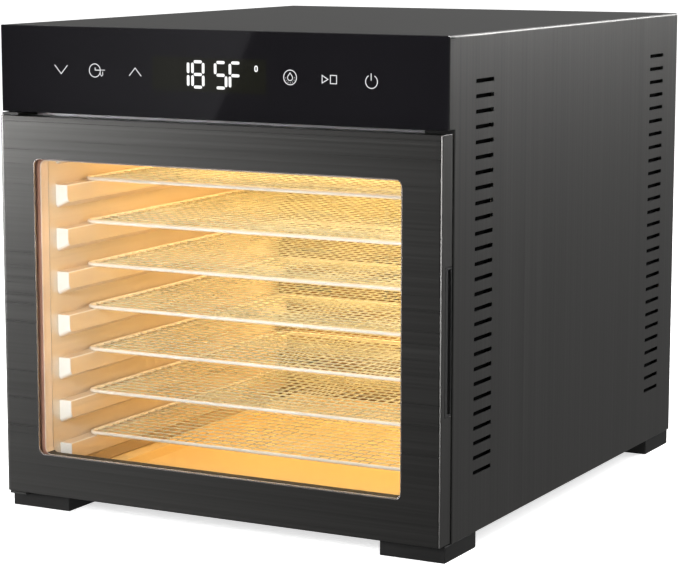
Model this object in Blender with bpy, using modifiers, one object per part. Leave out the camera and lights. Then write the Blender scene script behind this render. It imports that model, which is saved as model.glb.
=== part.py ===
"""Countertop food dehydrator: sheet steel cabinet, hinged glass door, wire racks on ledges, rear fan and heater.

Metres, +Z up. The front faces -Y. The origin is under the middle of the machine, on the surface it stands on.
"""
import math

import bmesh
import bpy
from mathutils import Matrix, Vector

MM = 0.001
GAP = 0.3 * MM                       # clearance between neighbouring pieces

# cabinet
WIDTH = 340.0 * MM
HEIGHT = 338.0 * MM
FOOT_HEIGHT = 11.2 * MM
SHEET = 0.8 * MM                     # outer sheet steel
HALF_W = WIDTH / 2
BACK_Y = 207.0 * MM                  # rear edge of the side panels
PANEL_Y = -201.5 * MM                # front face of the control panel
DOOR_Y = -207.0 * MM                 # front face of the door
BODY_FRONT_Y = -190.5 * MM           # front plane of the cabinet behind the door
BODY_BOTTOM = FOOT_HEIGHT + GAP

# control panel
GLASS_THICK = 3.0 * MM
PANEL_BOTTOM = 278.7 * MM
DISPLAY_X = (-47.3 * MM, 39.8 * MM)
DISPLAY_Z = (297.2 * MM, 319.7 * MM)

# louvres in each side panel
SLOT_COUNT = 27
SLOT_PITCH = 9.84 * MM
SLOT_HEIGHT = 2.0 * MM
SLOT_LENGTH = 27.6 * MM
SLOT_TOP_Z = 307.5 * MM
SLOT_COLUMNS_Y = (-145.9 * MM, 164.0 * MM)

# door
DOOR_HALF_W = 169.0 * MM
DOOR_BOTTOM = 12.0 * MM
DOOR_TOP = 276.3 * MM
DOOR_BACK_Y = -191.5 * MM
DOOR_SHEET = 1.5 * MM
WINDOW_HALF_W = 141.3 * MM
WINDOW_BOTTOM = 40.5 * MM
WINDOW_TOP = 247.8 * MM
WINDOW_RADIUS = 5.0 * MM
PANE_THICK = 4.0 * MM
HANDLE_LENGTH = 97.0 * MM
HINGE_X = -161.0 * MM
HINGE_Y = -200.5 * MM
PIN_RADIUS = 2.0 * MM
PIN_HOLE = 2.4 * MM
HINGE_PLATE = 1.6 * MM
HINGE_SIDE_RADIUS = 6.0 * MM         # rear left corner of the door, which swings past the cabinet
FRONT_RADIUS = 3.0 * MM

# drying chamber
WALL_X = 141.2 * MM                  # inner face of each side wall
LINER = 0.8 * MM
CEILING_Z = 274.0 * MM
FLOOR_Z = 20.0 * MM
CHAMBER_BACK = 161.7 * MM
BAFFLE_Y = 132.0 * MM
LEDGE_FRONT = -180.5 * MM
LEDGE_BACK = 129.0 * MM
LEDGE_DEPTH = 10.0 * MM
LEDGE_FACE = 12.0 * MM
LEDGE_SLOPE = 4.7 * MM
LEDGE_COUNT = 8

# racks
RACK_COUNT = 7
RACK_PITCH = 30.5 * MM
TOP_RACK_Z = 228.7 * MM              # middle of the top rack's wires
RIM_WIRE = 2.5 * MM
RACK_HALF_W = 138.0 * MM
RACK_FRONT = -149.5 * MM
RACK_BACK = 127.0 * MM
RACK_COLUMNS = 7
RACK_ROWS = 3

# fan, heater and rear compartment
FAN_Z = 147.0 * MM
FAN_RADIUS = 60.0 * MM
HEATER_RADIUS = 78.0 * MM
HEATER_Y = 146.0 * MM
HEATER_TUBE = 3.2 * MM
FAN_PLATE_Y = 162.0 * MM
BACK_PANEL_Y = 198.0 * MM
SHAFT_RADIUS = 3.0 * MM
SHAFT_HOLE = 4.0 * MM


def clear_scene():
    for obj in list(bpy.data.objects):
        bpy.data.objects.remove(obj, do_unlink=True)


def new_collection(name):
    group = bpy.data.collections.new(name)
    bpy.context.scene.collection.children.link(group)
    return group


clear_scene()
PARTS = new_collection("food_dehydrator")
CUTTERS = new_collection("cutters")
FINISHES = {}


def finish(name, colour, roughness, metallic):
    material = bpy.data.materials.new(name)
    material.use_nodes = True
    shader = material.node_tree.nodes["Principled BSDF"]
    shader.inputs["Base Color"].default_value = (*colour, 1.0)
    shader.inputs["Roughness"].default_value = roughness
    shader.inputs["Metallic"].default_value = metallic
    FINISHES[name] = material


def make_finishes():
    finish("black_brushed_steel", (0.07, 0.07, 0.068), 0.38, 0.9)
    finish("black_glass", (0.012, 0.012, 0.014), 0.05, 0.0)
    finish("display_green_black", (0.03, 0.032, 0.026), 0.2, 0.0)
    finish("black_plastic", (0.03, 0.03, 0.03), 0.55, 0.0)
    finish("black_rubber", (0.025, 0.025, 0.025), 0.8, 0.0)
    finish("clear_glass", (0.85, 0.9, 0.88), 0.03, 0.0)
    finish("stainless_liner", (0.62, 0.6, 0.56), 0.32, 1.0)
    finish("rack_chrome", (0.8, 0.78, 0.74), 0.15, 1.0)
    finish("zinc_plate", (0.5, 0.5, 0.5), 0.4, 1.0)
    finish("circuit_green", (0.02, 0.13, 0.06), 0.5, 0.0)
    finish("silicone_gasket", (0.06, 0.06, 0.06), 0.7, 0.0)
    finish("motor_steel", (0.35, 0.35, 0.37), 0.45, 1.0)
    finish("heater_steel", (0.22, 0.2, 0.19), 0.5, 1.0)
    finish("lamp_warm", (1.0, 0.8, 0.5), 0.2, 0.0)


def shade_round(mesh):
    mesh.shade_smooth()
    mesh.set_sharp_from_angle(angle=math.radians(35))


def add_object(name, mesh, material, parent=None, place=(0, 0, 0), cutter=False):
    """Put a mesh in the scene with its origin at place, given in world coordinates."""
    obj = bpy.data.objects.new(name, mesh)
    if cutter:
        CUTTERS.objects.link(obj)
        obj.hide_render = True
        obj.display_type = "WIRE"
    else:
        PARTS.objects.link(obj)
        mesh.materials.append(FINISHES[material])
    obj.location = Vector(place)
    if parent is not None:
        obj.parent = parent
        obj.location = Vector(place) - parent.location
    return obj


def box_mesh(name, size):
    mesh = bpy.data.meshes.new(name)
    bm = bmesh.new()
    bmesh.ops.create_cube(bm, size=1.0)
    bmesh.ops.scale(bm, vec=Vector(size), verts=bm.verts)
    bm.to_mesh(mesh)
    bm.free()
    return mesh


def box(name, x, y, z, material="", parent=None, cutter=False):
    """A box between the low and high value on each axis."""
    size = (x[1] - x[0], y[1] - y[0], z[1] - z[0])
    centre = ((x[0] + x[1]) / 2, (y[0] + y[1]) / 2, (z[0] + z[1]) / 2)
    return add_object(name, box_mesh(name, size), material, parent, centre, cutter)


AXIS_TURN = {
    "X": Matrix.Rotation(math.pi / 2, 4, "Y"),
    "Y": Matrix.Rotation(math.pi / 2, 4, "X"),
    "Z": Matrix.Identity(4),
}


def cylinder(name, centre, radius, length, axis="Z", material="", parent=None, cutter=False, sides=24, tip=None):
    """A cylinder, or a cone where tip gives the far radius, along one axis."""
    mesh = bpy.data.meshes.new(name)
    bm = bmesh.new()
    far = radius if tip is None else tip
    bmesh.ops.create_cone(bm, cap_ends=True, segments=sides, radius1=radius, radius2=far, depth=length)
    bmesh.ops.transform(bm, matrix=AXIS_TURN[axis], verts=bm.verts)
    bm.to_mesh(mesh)
    bm.free()
    shade_round(mesh)
    return add_object(name, mesh, material, parent, centre, cutter)


def boolean(obj, other, operation="DIFFERENCE"):
    """Cut other from obj, or join it on, and keep other out of the parts."""
    step = obj.modifiers.new(other.name, "BOOLEAN")
    step.operation = operation
    step.solver = "EXACT"
    step.object = other
    if other.parent is None and obj.parent is not None:
        other.parent = obj.parent
        other.location = other.location - obj.parent.location
    return step


def cut_box(obj, label, x, y, z):
    boolean(obj, box(obj.name + "_" + label, x, y, z, cutter=True))


def join_box(obj, label, x, y, z):
    boolean(obj, box(obj.name + "_" + label, x, y, z, cutter=True), "UNION")


def cut_hole(obj, label, centre, radius, length, axis, sides=24):
    hole = cylinder(obj.name + "_" + label, centre, radius, length, axis, cutter=True, sides=sides)
    boolean(obj, hole)


def bevel(obj, width, segments=1, angle=40.0):
    step = obj.modifiers.new("bevel", "BEVEL")
    step.width = width
    step.segments = segments
    step.limit_method = "ANGLE"
    step.angle_limit = math.radians(angle)
    return step


def grid_cutter(name, cells):
    """One cutter of many loose boxes, each given as its (x, y, z) ranges."""
    mesh = bpy.data.meshes.new(name)
    bm = bmesh.new()
    for x, y, z in cells:
        made = bmesh.ops.create_cube(bm, size=1.0)["verts"]
        size = Vector((x[1] - x[0], y[1] - y[0], z[1] - z[0]))
        centre = Vector(((x[0] + x[1]) / 2, (y[0] + y[1]) / 2, (z[0] + z[1]) / 2))
        bmesh.ops.scale(bm, vec=size, verts=made)
        bmesh.ops.translate(bm, vec=centre, verts=made)
    bm.to_mesh(mesh)
    bm.free()
    return add_object(name, mesh, "", cutter=True)


def rounded_plate(name, half_w, low_z, high_z, low_y, high_y, radius, material="", parent=None, cutter=False):
    """A plate that stands across Y, with round corners in X and Z."""
    mesh = box_mesh(name, (2 * half_w, high_y - low_y, high_z - low_z))
    bm = bmesh.new()
    bm.from_mesh(mesh)
    edges = [e for e in bm.edges if abs((e.verts[0].co - e.verts[1].co).normalized().y) > 0.99]
    bmesh.ops.bevel(bm, geom=edges, offset=radius, segments=4, profile=0.5, affect="EDGES", material=-1)
    bm.to_mesh(mesh)
    bm.free()
    centre = (0, (low_y + high_y) / 2, (low_z + high_z) / 2)
    return add_object(name, mesh, material, parent, centre, cutter)


def round_upright_edges(obj, at_x, at_y, radius, segments):
    """Round the upright edge of a box mesh that stands at (at_x, at_y) in the world."""
    bm = bmesh.new()
    bm.from_mesh(obj.data)
    shift = obj.location + (obj.parent.location if obj.parent else Vector())
    edges = []
    for edge in bm.edges:
        a, b = edge.verts[0].co + shift, edge.verts[1].co + shift
        upright = abs(a.x - b.x) < 1e-6 and abs(a.y - b.y) < 1e-6
        if upright and abs(a.x - at_x) < 1e-5 and abs(a.y - at_y) < 1e-5:
            edges.append(edge)
    bmesh.ops.bevel(bm, geom=edges, offset=radius, segments=segments, profile=0.5, affect="EDGES", material=-1)
    bm.to_mesh(obj.data)
    bm.free()


# ---------------------------------------------------------------- cabinet shell

def side_panel(name, side):
    """Flat sheet with two columns of louvre slots, stepped back beside the door."""
    outer, inner = side * HALF_W, side * (HALF_W - SHEET)
    x = (min(outer, inner), max(outer, inner))
    top = HEIGHT
    panel = box(name, x, (PANEL_Y + GLASS_THICK + GAP, BACK_Y), (BODY_BOTTOM, top), "black_brushed_steel")
    reach = 5 * MM
    across = (x[0] - reach, x[1] + reach)
    cut_box(panel, "step", across, (PANEL_Y - reach, BODY_FRONT_Y), (0, PANEL_BOTTOM))
    slots = []
    for column in SLOT_COLUMNS_Y:
        for index in range(SLOT_COUNT):
            z = SLOT_TOP_Z - index * SLOT_PITCH
            y = (column - SLOT_LENGTH / 2, column + SLOT_LENGTH / 2)
            slots.append((across, y, (z - SLOT_HEIGHT / 2, z + SLOT_HEIGHT / 2)))
    boolean(panel, grid_cutter(name + "_slots", slots))


def shell():
    side_panel("left_side_panel", -1)
    side_panel("right_side_panel", 1)
    inside = HALF_W - SHEET - GAP
    front = PANEL_Y + GLASS_THICK + GAP
    box("top_panel", (-inside, inside), (front, BACK_Y), (HEIGHT - SHEET, HEIGHT), "black_brushed_steel")
    box("base_plate", (-inside, inside), (BODY_FRONT_Y + 1.8 * MM, BACK_PANEL_Y - GAP),
        (BODY_BOTTOM, BODY_BOTTOM + SHEET), "zinc_plate")
    frame_low = BODY_BOTTOM
    frame_top = HEIGHT - SHEET - GAP
    frame = box("front_frame", (-inside, inside), (BODY_FRONT_Y, BODY_FRONT_Y + 1.5 * MM),
                (frame_low, frame_top), "black_plastic")
    cut_box(frame, "mouth", (-148.8 * MM, 148.8 * MM), (BODY_FRONT_Y - MM, BODY_FRONT_Y + 5 * MM),
            (15.5 * MM, PANEL_BOTTOM))
    cut_box(frame, "magnet_hole", (152.7 * MM, 159.3 * MM), (BODY_FRONT_Y - MM, BODY_FRONT_Y + 5 * MM),
            (133.7 * MM, 154.3 * MM))


def back_panel():
    """Recessed rear plate with an air grille behind the motor, a cord gland and four screws."""
    inside = HALF_W - SHEET - GAP
    low, high = BODY_BOTTOM, HEIGHT - SHEET - GAP
    y = (BACK_PANEL_Y, BACK_PANEL_Y + SHEET)
    panel = box("back_panel", (-inside, inside), y, (low, high), "black_brushed_steel")
    slots = []
    for row in range(9):
        z = FAN_Z + (row - 4) * 11.0 * MM
        reach = math.sqrt((52 * MM) ** 2 - (z - FAN_Z) ** 2)
        for side in (-1, 1):
            near, far = side * 4 * MM, side * reach
            x = (min(near, far), max(near, far))
            slots.append((x, (y[0] - MM, y[1] + MM), (z - 2.5 * MM, z + 2.5 * MM)))
    boolean(panel, grid_cutter("back_panel_slots", slots))
    gland = (120 * MM, BACK_PANEL_Y + SHEET / 2, 45 * MM)
    cut_hole(panel, "gland_hole", gland, 8.4 * MM, 10 * MM, "Y")
    cord_gland(gland)
    for index, (x, z) in enumerate(((-158, 24), (158, 24), (-158, 326), (158, 326)), start=1):
        cylinder(f"back_screw_{index}", (x * MM, BACK_PANEL_Y + SHEET + GAP + MM, z * MM), 3.5 * MM, 2 * MM,
                 "Y", "zinc_plate", sides=16, tip=2.6 * MM)


def cord_gland(centre):
    """Round bushing through the back panel, bored for the mains lead."""
    x, y, z = centre
    gland = cylinder("cord_gland", (x, y, z), 8.0 * MM, 14 * MM, "Y", "black_rubber")
    flange = cylinder("cord_gland_flange", (x, BACK_PANEL_Y + SHEET + GAP + 1.0 * MM, z), 10.5 * MM, 2 * MM,
                      "Y", cutter=True)
    boolean(gland, flange, "UNION")
    cut_hole(gland, "bore", (x, y, z), 3.6 * MM, 30 * MM, "Y", sides=16)


def feet():
    size = 47.2 * MM
    outer = HALF_W - 1.0 * MM
    rows = {"front": (-199.0 * MM, -151.8 * MM), "rear": (159.2 * MM, 206.4 * MM)}
    for row, y in rows.items():
        for label, side in (("left", -1), ("right", 1)):
            edges = sorted((side * outer, side * (outer - size)))
            foot = box(f"foot_{row}_{label}", edges, y, (0, FOOT_HEIGHT), "black_rubber")
            if row == "front" and label == "left":
                cut_box(foot, "hinge_pocket", (-167.8 * MM, -154.2 * MM), (y[0] - MM, -174.4 * MM),
                        (9.4 * MM, 20 * MM))


# ---------------------------------------------------------------- control panel

def control_panel():
    glass = box("control_panel_glass", (-HALF_W, HALF_W), (PANEL_Y, PANEL_Y + GLASS_THICK),
                (PANEL_BOTTOM, HEIGHT), "black_glass")
    bevel(glass, 0.5 * MM, 2)
    inside = HALF_W - SHEET - GAP
    back = PANEL_Y + GLASS_THICK + GAP
    housing = box("control_housing", (-inside, inside), (back, BODY_FRONT_Y - GAP),
                  (PANEL_BOTTOM + 0.4 * MM, HEIGHT - SHEET - GAP), "black_plastic")
    wall = 1.6 * MM
    cut_box(housing, "hollow", (-inside + wall, inside - wall), (back - MM, BODY_FRONT_Y - GAP - 1.2 * MM),
            (PANEL_BOTTOM + 2.0 * MM, HEIGHT - SHEET - GAP - wall))
    box("display_module", DISPLAY_X, (back, back + 3.0 * MM), DISPLAY_Z, "display_green_black")
    board = box("touch_board", (-140 * MM, 140 * MM), (back + 3.3 * MM, back + 4.7 * MM),
                (291 * MM, 326 * MM), "circuit_green")
    for index, x in enumerate((-121.4, -93.5, -61.4, 58.6, 88.0, 118.0), start=1):
        pad = (x * MM, back + 2.4 * MM, 308.4 * MM)
        spring = cylinder(f"touch_board_key_{index}", pad, 5.0 * MM, 3.6 * MM, "Y", cutter=True, sides=16)
        boolean(board, spring, "UNION")


# ---------------------------------------------------------------- drying chamber

def ledge_outline(top, offset):
    """Section of one ledge from the wall out: flat top, upright face, sloped underside, all inset by offset."""
    root = WALL_X + LINER - GAP + 3 * offset
    tip = WALL_X - LEDGE_DEPTH + offset
    foot = top - LEDGE_FACE - LEDGE_SLOPE + offset
    return [(root, top - offset), (tip, top - offset), (tip, top - LEDGE_FACE + offset / 2), (WALL_X, foot),
            (root, foot)]


def ledge_prisms(name, side, offset):
    """All the ledges of one wall as prisms along Y, inset by offset on every face but the wall's own."""
    mesh = bpy.data.meshes.new(name)
    bm = bmesh.new()
    for index in range(LEDGE_COUNT):
        corners = [bm.verts.new((side * px, LEDGE_FRONT + offset, pz))
                   for px, pz in ledge_outline(ledge_top(index), offset)]
        face = bm.faces.new(corners)
        sweep = bmesh.ops.extrude_face_region(bm, geom=[face])["geom"]
        moved = [v for v in sweep if isinstance(v, bmesh.types.BMVert)]
        bmesh.ops.translate(bm, vec=(0, LEDGE_BACK - LEDGE_FRONT - 2 * offset, 0), verts=moved)
    bmesh.ops.recalc_face_normals(bm, faces=bm.faces)
    bm.to_mesh(mesh)
    bm.free()
    return add_object(name, mesh, "", cutter=True)


def chamber_wall(name, side):
    """Side wall of the chamber, pressed out into hollow ledges that carry the racks."""
    inner, outer = side * WALL_X, side * (WALL_X + LINER)
    x = (min(inner, outer), max(inner, outer))
    wall = box(name, x, (BODY_FRONT_Y + 1.3 * MM, CHAMBER_BACK), (FLOOR_Z, CEILING_Z), "stainless_liner")
    boolean(wall, ledge_prisms(name + "_ledges", side, 0.0), "UNION")
    boolean(wall, ledge_prisms(name + "_hollows", side, LINER))


def ledge_top(index):
    """Height of a ledge, counted from the spare one at the top."""
    return TOP_RACK_Z + RACK_PITCH * (1 - index) - RIM_WIRE / 2 - GAP


def chamber():
    chamber_wall("chamber_left_wall", -1)
    chamber_wall("chamber_right_wall", 1)
    across = (-WALL_X - LINER, WALL_X + LINER)
    depth = (BODY_FRONT_Y + 1.3 * MM, CHAMBER_BACK)
    ceiling = box("chamber_ceiling", across, depth, (CEILING_Z + GAP, CEILING_Z + GAP + LINER), "stainless_liner")
    cut_box(ceiling, "lamp_hole", (-31 * MM, 31 * MM), (-16 * MM, 16 * MM), (CEILING_Z - MM, CEILING_Z + 5 * MM))
    box("chamber_floor", across, depth, (FLOOR_Z - GAP - LINER, FLOOR_Z - GAP), "stainless_liner")
    flange = box("mouth_flange", (-148.5 * MM, 148.5 * MM), (BODY_FRONT_Y, BODY_FRONT_Y + MM),
                 (15.8 * MM, PANEL_BOTTOM - 0.3 * MM), "stainless_liner")
    cut_box(flange, "mouth", (-WALL_X, WALL_X), (BODY_FRONT_Y - MM, BODY_FRONT_Y + 3 * MM), (FLOOR_Z, CEILING_Z))
    rear_baffle()
    lamp()


def rear_baffle():
    """Plate behind the racks with a round grille of slots for the fan and return slots at its edges."""
    edge = WALL_X - GAP
    y = (BAFFLE_Y, BAFFLE_Y + LINER)
    low, high = FLOOR_Z + 0.1 * MM, CEILING_Z - 0.1 * MM
    baffle = box("rear_baffle", (-edge, edge), y, (low, high), "stainless_liner")
    through = (y[0] - MM, y[1] + MM)
    slots = []
    for column in range(-6, 7):
        x = column * 8.5 * MM
        reach = math.sqrt((58 * MM) ** 2 - x ** 2)
        for near, far in ((2.5 * MM, reach), (-reach, -2.5 * MM)):
            slots.append(((x - 2 * MM, x + 2 * MM), through, (FAN_Z + near, FAN_Z + far)))
    for side in (-1, 1):
        for row in range(8):
            z = ledge_top(row) - 24 * MM
            edges = sorted((side * 92 * MM, side * 126 * MM))
            slots.append((edges, through, (z, z + 4 * MM)))
    boolean(baffle, grid_cutter("rear_baffle_slots", slots))


def lamp():
    """Chamber lamp above the ceiling behind a flat lens."""
    lens = box("lamp_lens", (-30.5 * MM, 30.5 * MM), (-15.5 * MM, 15.5 * MM), (CEILING_Z - 2.5 * MM,
               CEILING_Z + 1.2 * MM), "clear_glass")
    bevel(lens, 1.0 * MM, 2)
    holder = box("lamp_holder", (-36 * MM, 36 * MM), (-21 * MM, 21 * MM),
                 (CEILING_Z + LINER + 2 * GAP, CEILING_Z + 20 * MM), "zinc_plate")
    cut_box(holder, "hollow", (-33 * MM, 33 * MM), (-18 * MM, 18 * MM), (CEILING_Z - MM, CEILING_Z + 18 * MM))
    bulb = cylinder("lamp_bulb", (0, 0, CEILING_Z + 9 * MM), 4.5 * MM, 52 * MM, "X", "lamp_warm", sides=20)
    bevel(bulb, 1.2 * MM, 2)


def drip_tray():
    """Shallow pan that slides in on the chamber floor."""
    half, front, back = 119.2 * MM, -160 * MM, 118 * MM
    low, high = FLOOR_Z + 0.3 * MM, FLOOR_Z + 8.3 * MM
    tray = box("drip_tray", (-half, half), (front, back), (low, high), "stainless_liner")
    lip = 12 * MM
    cut_box(tray, "pan", (-half + lip, half - lip), (front + lip, back - lip), (low + 1.2 * MM, high + MM))
    cut_box(tray, "under_left", (-half - MM, -half + lip - 1.2 * MM), (front - MM, back + MM),
            (low - MM, high - 1.2 * MM))
    cut_box(tray, "under_right", (half - lip + 1.2 * MM, half + MM), (front - MM, back + MM),
            (low - MM, high - 1.2 * MM))
    cut_box(tray, "under_front", (-half - MM, half + MM), (front - MM, front + lip - 1.2 * MM),
            (low - MM, high - 1.2 * MM))
    cut_box(tray, "under_back", (-half - MM, half + MM), (back - lip + 1.2 * MM, back + MM),
            (low - MM, high - 1.2 * MM))
    return tray


def spaced(low, high, bar, count):
    """Edges of the bars that split low..high into count open cells."""
    cell = (high - low - (count + 1) * bar) / count
    lines = []
    for index in range(count + 1):
        start = low + index * (cell + bar)
        lines += [start, start + bar]
    return lines


def rack(index):
    """Wire rack: a rim and crossing wires, all in one flat layer."""
    xs = spaced(-RACK_HALF_W - RIM_WIRE / 2, RACK_HALF_W + RIM_WIRE / 2, RIM_WIRE, RACK_COLUMNS)
    ys = spaced(RACK_FRONT - RIM_WIRE / 2, RACK_BACK + RIM_WIRE / 2, RIM_WIRE, RACK_ROWS)
    name = f"rack_{index + 1}"
    z = TOP_RACK_Z - index * RACK_PITCH
    mesh = bpy.data.meshes.new(name)
    bm = bmesh.new()
    bmesh.ops.create_grid(bm, x_segments=len(xs) - 1, y_segments=len(ys) - 1, size=1.0)
    step_x, step_y = 2.0 / (len(xs) - 1), 2.0 / (len(ys) - 1)
    middle_y = (RACK_FRONT + RACK_BACK) / 2
    holes = []
    for face in bm.faces:
        centre = face.calc_center_median()
        column = int((centre.x + 1.0) / step_x)
        row = int((centre.y + 1.0) / step_y)
        if column % 2 == 1 and row % 2 == 1:
            holes.append(face)
    bmesh.ops.delete(bm, geom=holes, context="FACES")
    for vert in bm.verts:
        column = round((vert.co.x + 1.0) / step_x)
        row = round((vert.co.y + 1.0) / step_y)
        vert.co = Vector((xs[column], ys[row] - middle_y, 0))
    bm.to_mesh(mesh)
    bm.free()
    lattice = add_object(name, mesh, "rack_chrome", None, (0, middle_y, z))
    thicken = lattice.modifiers.new("wire", "SOLIDIFY")
    thicken.thickness = RIM_WIRE
    thicken.offset = 0.0
    return lattice


# ---------------------------------------------------------------- door

def door():
    axis = bpy.data.objects.new("door_hinge_axis", None)
    PARTS.objects.link(axis)
    axis.location = (HINGE_X, HINGE_Y, DOOR_BOTTOM)
    door_skin(axis)
    door_inner_frame(axis)
    pane_half = WINDOW_HALF_W + 5.5 * MM
    pane_y = DOOR_Y + DOOR_SHEET + GAP
    box("door_glass", (-pane_half, pane_half), (pane_y, pane_y + PANE_THICK),
        (WINDOW_BOTTOM - 5.5 * MM, WINDOW_TOP + 5.5 * MM), "clear_glass", axis)
    gasket = box("door_gasket", (-152 * MM, 152 * MM), (DOOR_BACK_Y - 2 * MM, DOOR_BACK_Y + 0.6 * MM),
                 (25 * MM, 263 * MM), "silicone_gasket", axis)
    cut_box(gasket, "middle", (-147.5 * MM, 147.5 * MM), (DOOR_BACK_Y - 5 * MM, DOOR_BACK_Y + 5 * MM),
            (29.5 * MM, 258.5 * MM))
    handle_insert(axis)
    box("door_strike", (153.3 * MM, 158.7 * MM), (DOOR_BACK_Y - 1.8 * MM, DOOR_BACK_Y - 0.2 * MM),
        (134.5 * MM, 153.5 * MM), "zinc_plate", axis)
    pins(axis)
    return axis


def door_skin(axis):
    """Front sheet with its returns: a pan open at the back, with the window cut through it."""
    skin = box("door_skin", (-DOOR_HALF_W, DOOR_HALF_W), (DOOR_Y, DOOR_BACK_Y), (DOOR_BOTTOM, DOOR_TOP),
               "black_brushed_steel", axis)
    round_upright_edges(skin, -DOOR_HALF_W, DOOR_BACK_Y, HINGE_SIDE_RADIUS, 5)
    round_upright_edges(skin, -DOOR_HALF_W, DOOR_Y, FRONT_RADIUS, 4)
    round_upright_edges(skin, DOOR_HALF_W, DOOR_Y, 1.5 * MM, 3)
    hollow = box("door_skin_hollow", (-DOOR_HALF_W + DOOR_SHEET, DOOR_HALF_W - DOOR_SHEET),
                 (DOOR_Y + DOOR_SHEET, DOOR_BACK_Y + 5 * MM), (DOOR_BOTTOM + DOOR_SHEET, DOOR_TOP - DOOR_SHEET),
                 cutter=True)
    round_upright_edges(hollow, -DOOR_HALF_W + DOOR_SHEET, DOOR_Y + DOOR_SHEET, 1.6 * MM, 3)
    boolean(skin, hollow)
    boolean(skin, rounded_plate("door_skin_window", WINDOW_HALF_W, WINDOW_BOTTOM, WINDOW_TOP, DOOR_Y - 5 * MM,
                                DOOR_Y + 5 * MM, WINDOW_RADIUS, cutter=True))
    middle = (DOOR_BOTTOM + DOOR_TOP) / 2
    cut_box(skin, "handle", (160 * MM, 180 * MM), (-201 * MM, DOOR_BACK_Y + 5 * MM),
            (middle - HANDLE_LENGTH / 2, middle + HANDLE_LENGTH / 2))
    cut_hole(skin, "pins", (HINGE_X, HINGE_Y, middle), PIN_HOLE, 400 * MM, "Z", sides=16)


def door_inner_frame(axis):
    """Plastic ring inside the pan: it holds the pane, the gasket, the strike and both pins."""
    side = DOOR_HALF_W - DOOR_SHEET - GAP
    back = DOOR_BACK_Y - 0.2 * MM
    front = DOOR_Y + DOOR_SHEET + GAP
    frame = box("door_inner_frame", (-side, side), (front, back),
                (DOOR_BOTTOM + DOOR_SHEET + GAP, DOOR_TOP - DOOR_SHEET - GAP), "black_plastic", axis)
    round_upright_edges(frame, -side, back, 5.2 * MM, 5)
    round_upright_edges(frame, -side, front, 1.6 * MM, 3)
    pane_half = WINDOW_HALF_W + 5.8 * MM
    opening = rounded_plate("door_inner_frame_window", WINDOW_HALF_W - 1.2 * MM, WINDOW_BOTTOM + 1.2 * MM,
                            WINDOW_TOP - 1.2 * MM, DOOR_Y - 5 * MM, DOOR_BACK_Y + 5 * MM, WINDOW_RADIUS,
                            cutter=True)
    boolean(frame, opening)
    cut_box(frame, "rebate", (-pane_half, pane_half), (front - MM, front + PANE_THICK + GAP),
            (WINDOW_BOTTOM - 5.8 * MM, WINDOW_TOP + 5.8 * MM))
    groove = box("door_inner_frame_groove", (-152.3 * MM, 152.3 * MM), (DOOR_BACK_Y - 2.3 * MM,
                 DOOR_BACK_Y + 5 * MM), (24.7 * MM, 263.3 * MM), cutter=True)
    core = box("door_inner_frame_core", (-147.2 * MM, 147.2 * MM), (DOOR_BACK_Y - 9 * MM, DOOR_BACK_Y + 9 * MM),
               (29.8 * MM, 258.2 * MM), cutter=True)
    boolean(groove, core)
    boolean(frame, groove)
    middle = (DOOR_BOTTOM + DOOR_TOP) / 2
    cut_box(frame, "handle", (159.7 * MM, 180 * MM), (-201.3 * MM, DOOR_BACK_Y + 5 * MM),
            (middle - HANDLE_LENGTH / 2 - GAP, middle + HANDLE_LENGTH / 2 + GAP))
    cut_box(frame, "strike", (153.0 * MM, 159.0 * MM), (DOOR_BACK_Y - 2.1 * MM, DOOR_BACK_Y + 5 * MM),
            (134.2 * MM, 153.8 * MM))
    cut_hole(frame, "pins", (HINGE_X, HINGE_Y, middle), PIN_HOLE, 400 * MM, "Z", sides=16)


def handle_insert(axis):
    """Finger pull let into the free edge of the door."""
    middle = (DOOR_BOTTOM + DOOR_TOP) / 2
    half = HANDLE_LENGTH / 2 - GAP
    insert = box("handle_insert", (160.2 * MM, DOOR_HALF_W), (-200.7 * MM, DOOR_BACK_Y),
                 (middle - half, middle + half), "black_plastic", axis)
    cut_box(insert, "finger_slot", (162 * MM, 180 * MM), (-197.2 * MM, -192.6 * MM),
            (middle - half + 1.5 * MM, middle + half - 1.5 * MM))


def pins(axis):
    """The two pins fixed in the door, which turn in the plates on the cabinet."""
    length = 18 * MM
    top = PANEL_BOTTOM - 0.5 * MM
    bottom = 10.0 * MM
    cylinder("hinge_pin_upper", (HINGE_X, HINGE_Y, top - length / 2), PIN_RADIUS, length, "Z", "zinc_plate",
             axis, sides=16)
    cylinder("hinge_pin_lower", (HINGE_X, HINGE_Y, bottom + length / 2), PIN_RADIUS, length, "Z", "zinc_plate",
             axis, sides=16)


def hinge_plates():
    low = DOOR_TOP + 0.4 * MM
    upper = box("hinge_plate_upper", (-167.5 * MM, -154.5 * MM), (-205 * MM, BODY_FRONT_Y - GAP),
                (low, low + HINGE_PLATE), "black_plastic")
    cut_hole(upper, "hole", (HINGE_X, HINGE_Y, low), PIN_HOLE, 10 * MM, "Z", sides=16)
    lower = box("hinge_plate_lower", (-167.5 * MM, -154.5 * MM), (-205 * MM, -174.7 * MM),
                (9.7 * MM, 11.2 * MM), "black_plastic")
    cut_hole(lower, "hole", (HINGE_X, HINGE_Y, 10 * MM), PIN_HOLE, 10 * MM, "Z", sides=16)
    box("door_magnet", (153 * MM, 159 * MM), (BODY_FRONT_Y - GAP, BODY_FRONT_Y + 9 * MM),
        (134 * MM, 154 * MM), "zinc_plate")


# ---------------------------------------------------------------- fan, heater and wiring

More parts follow.
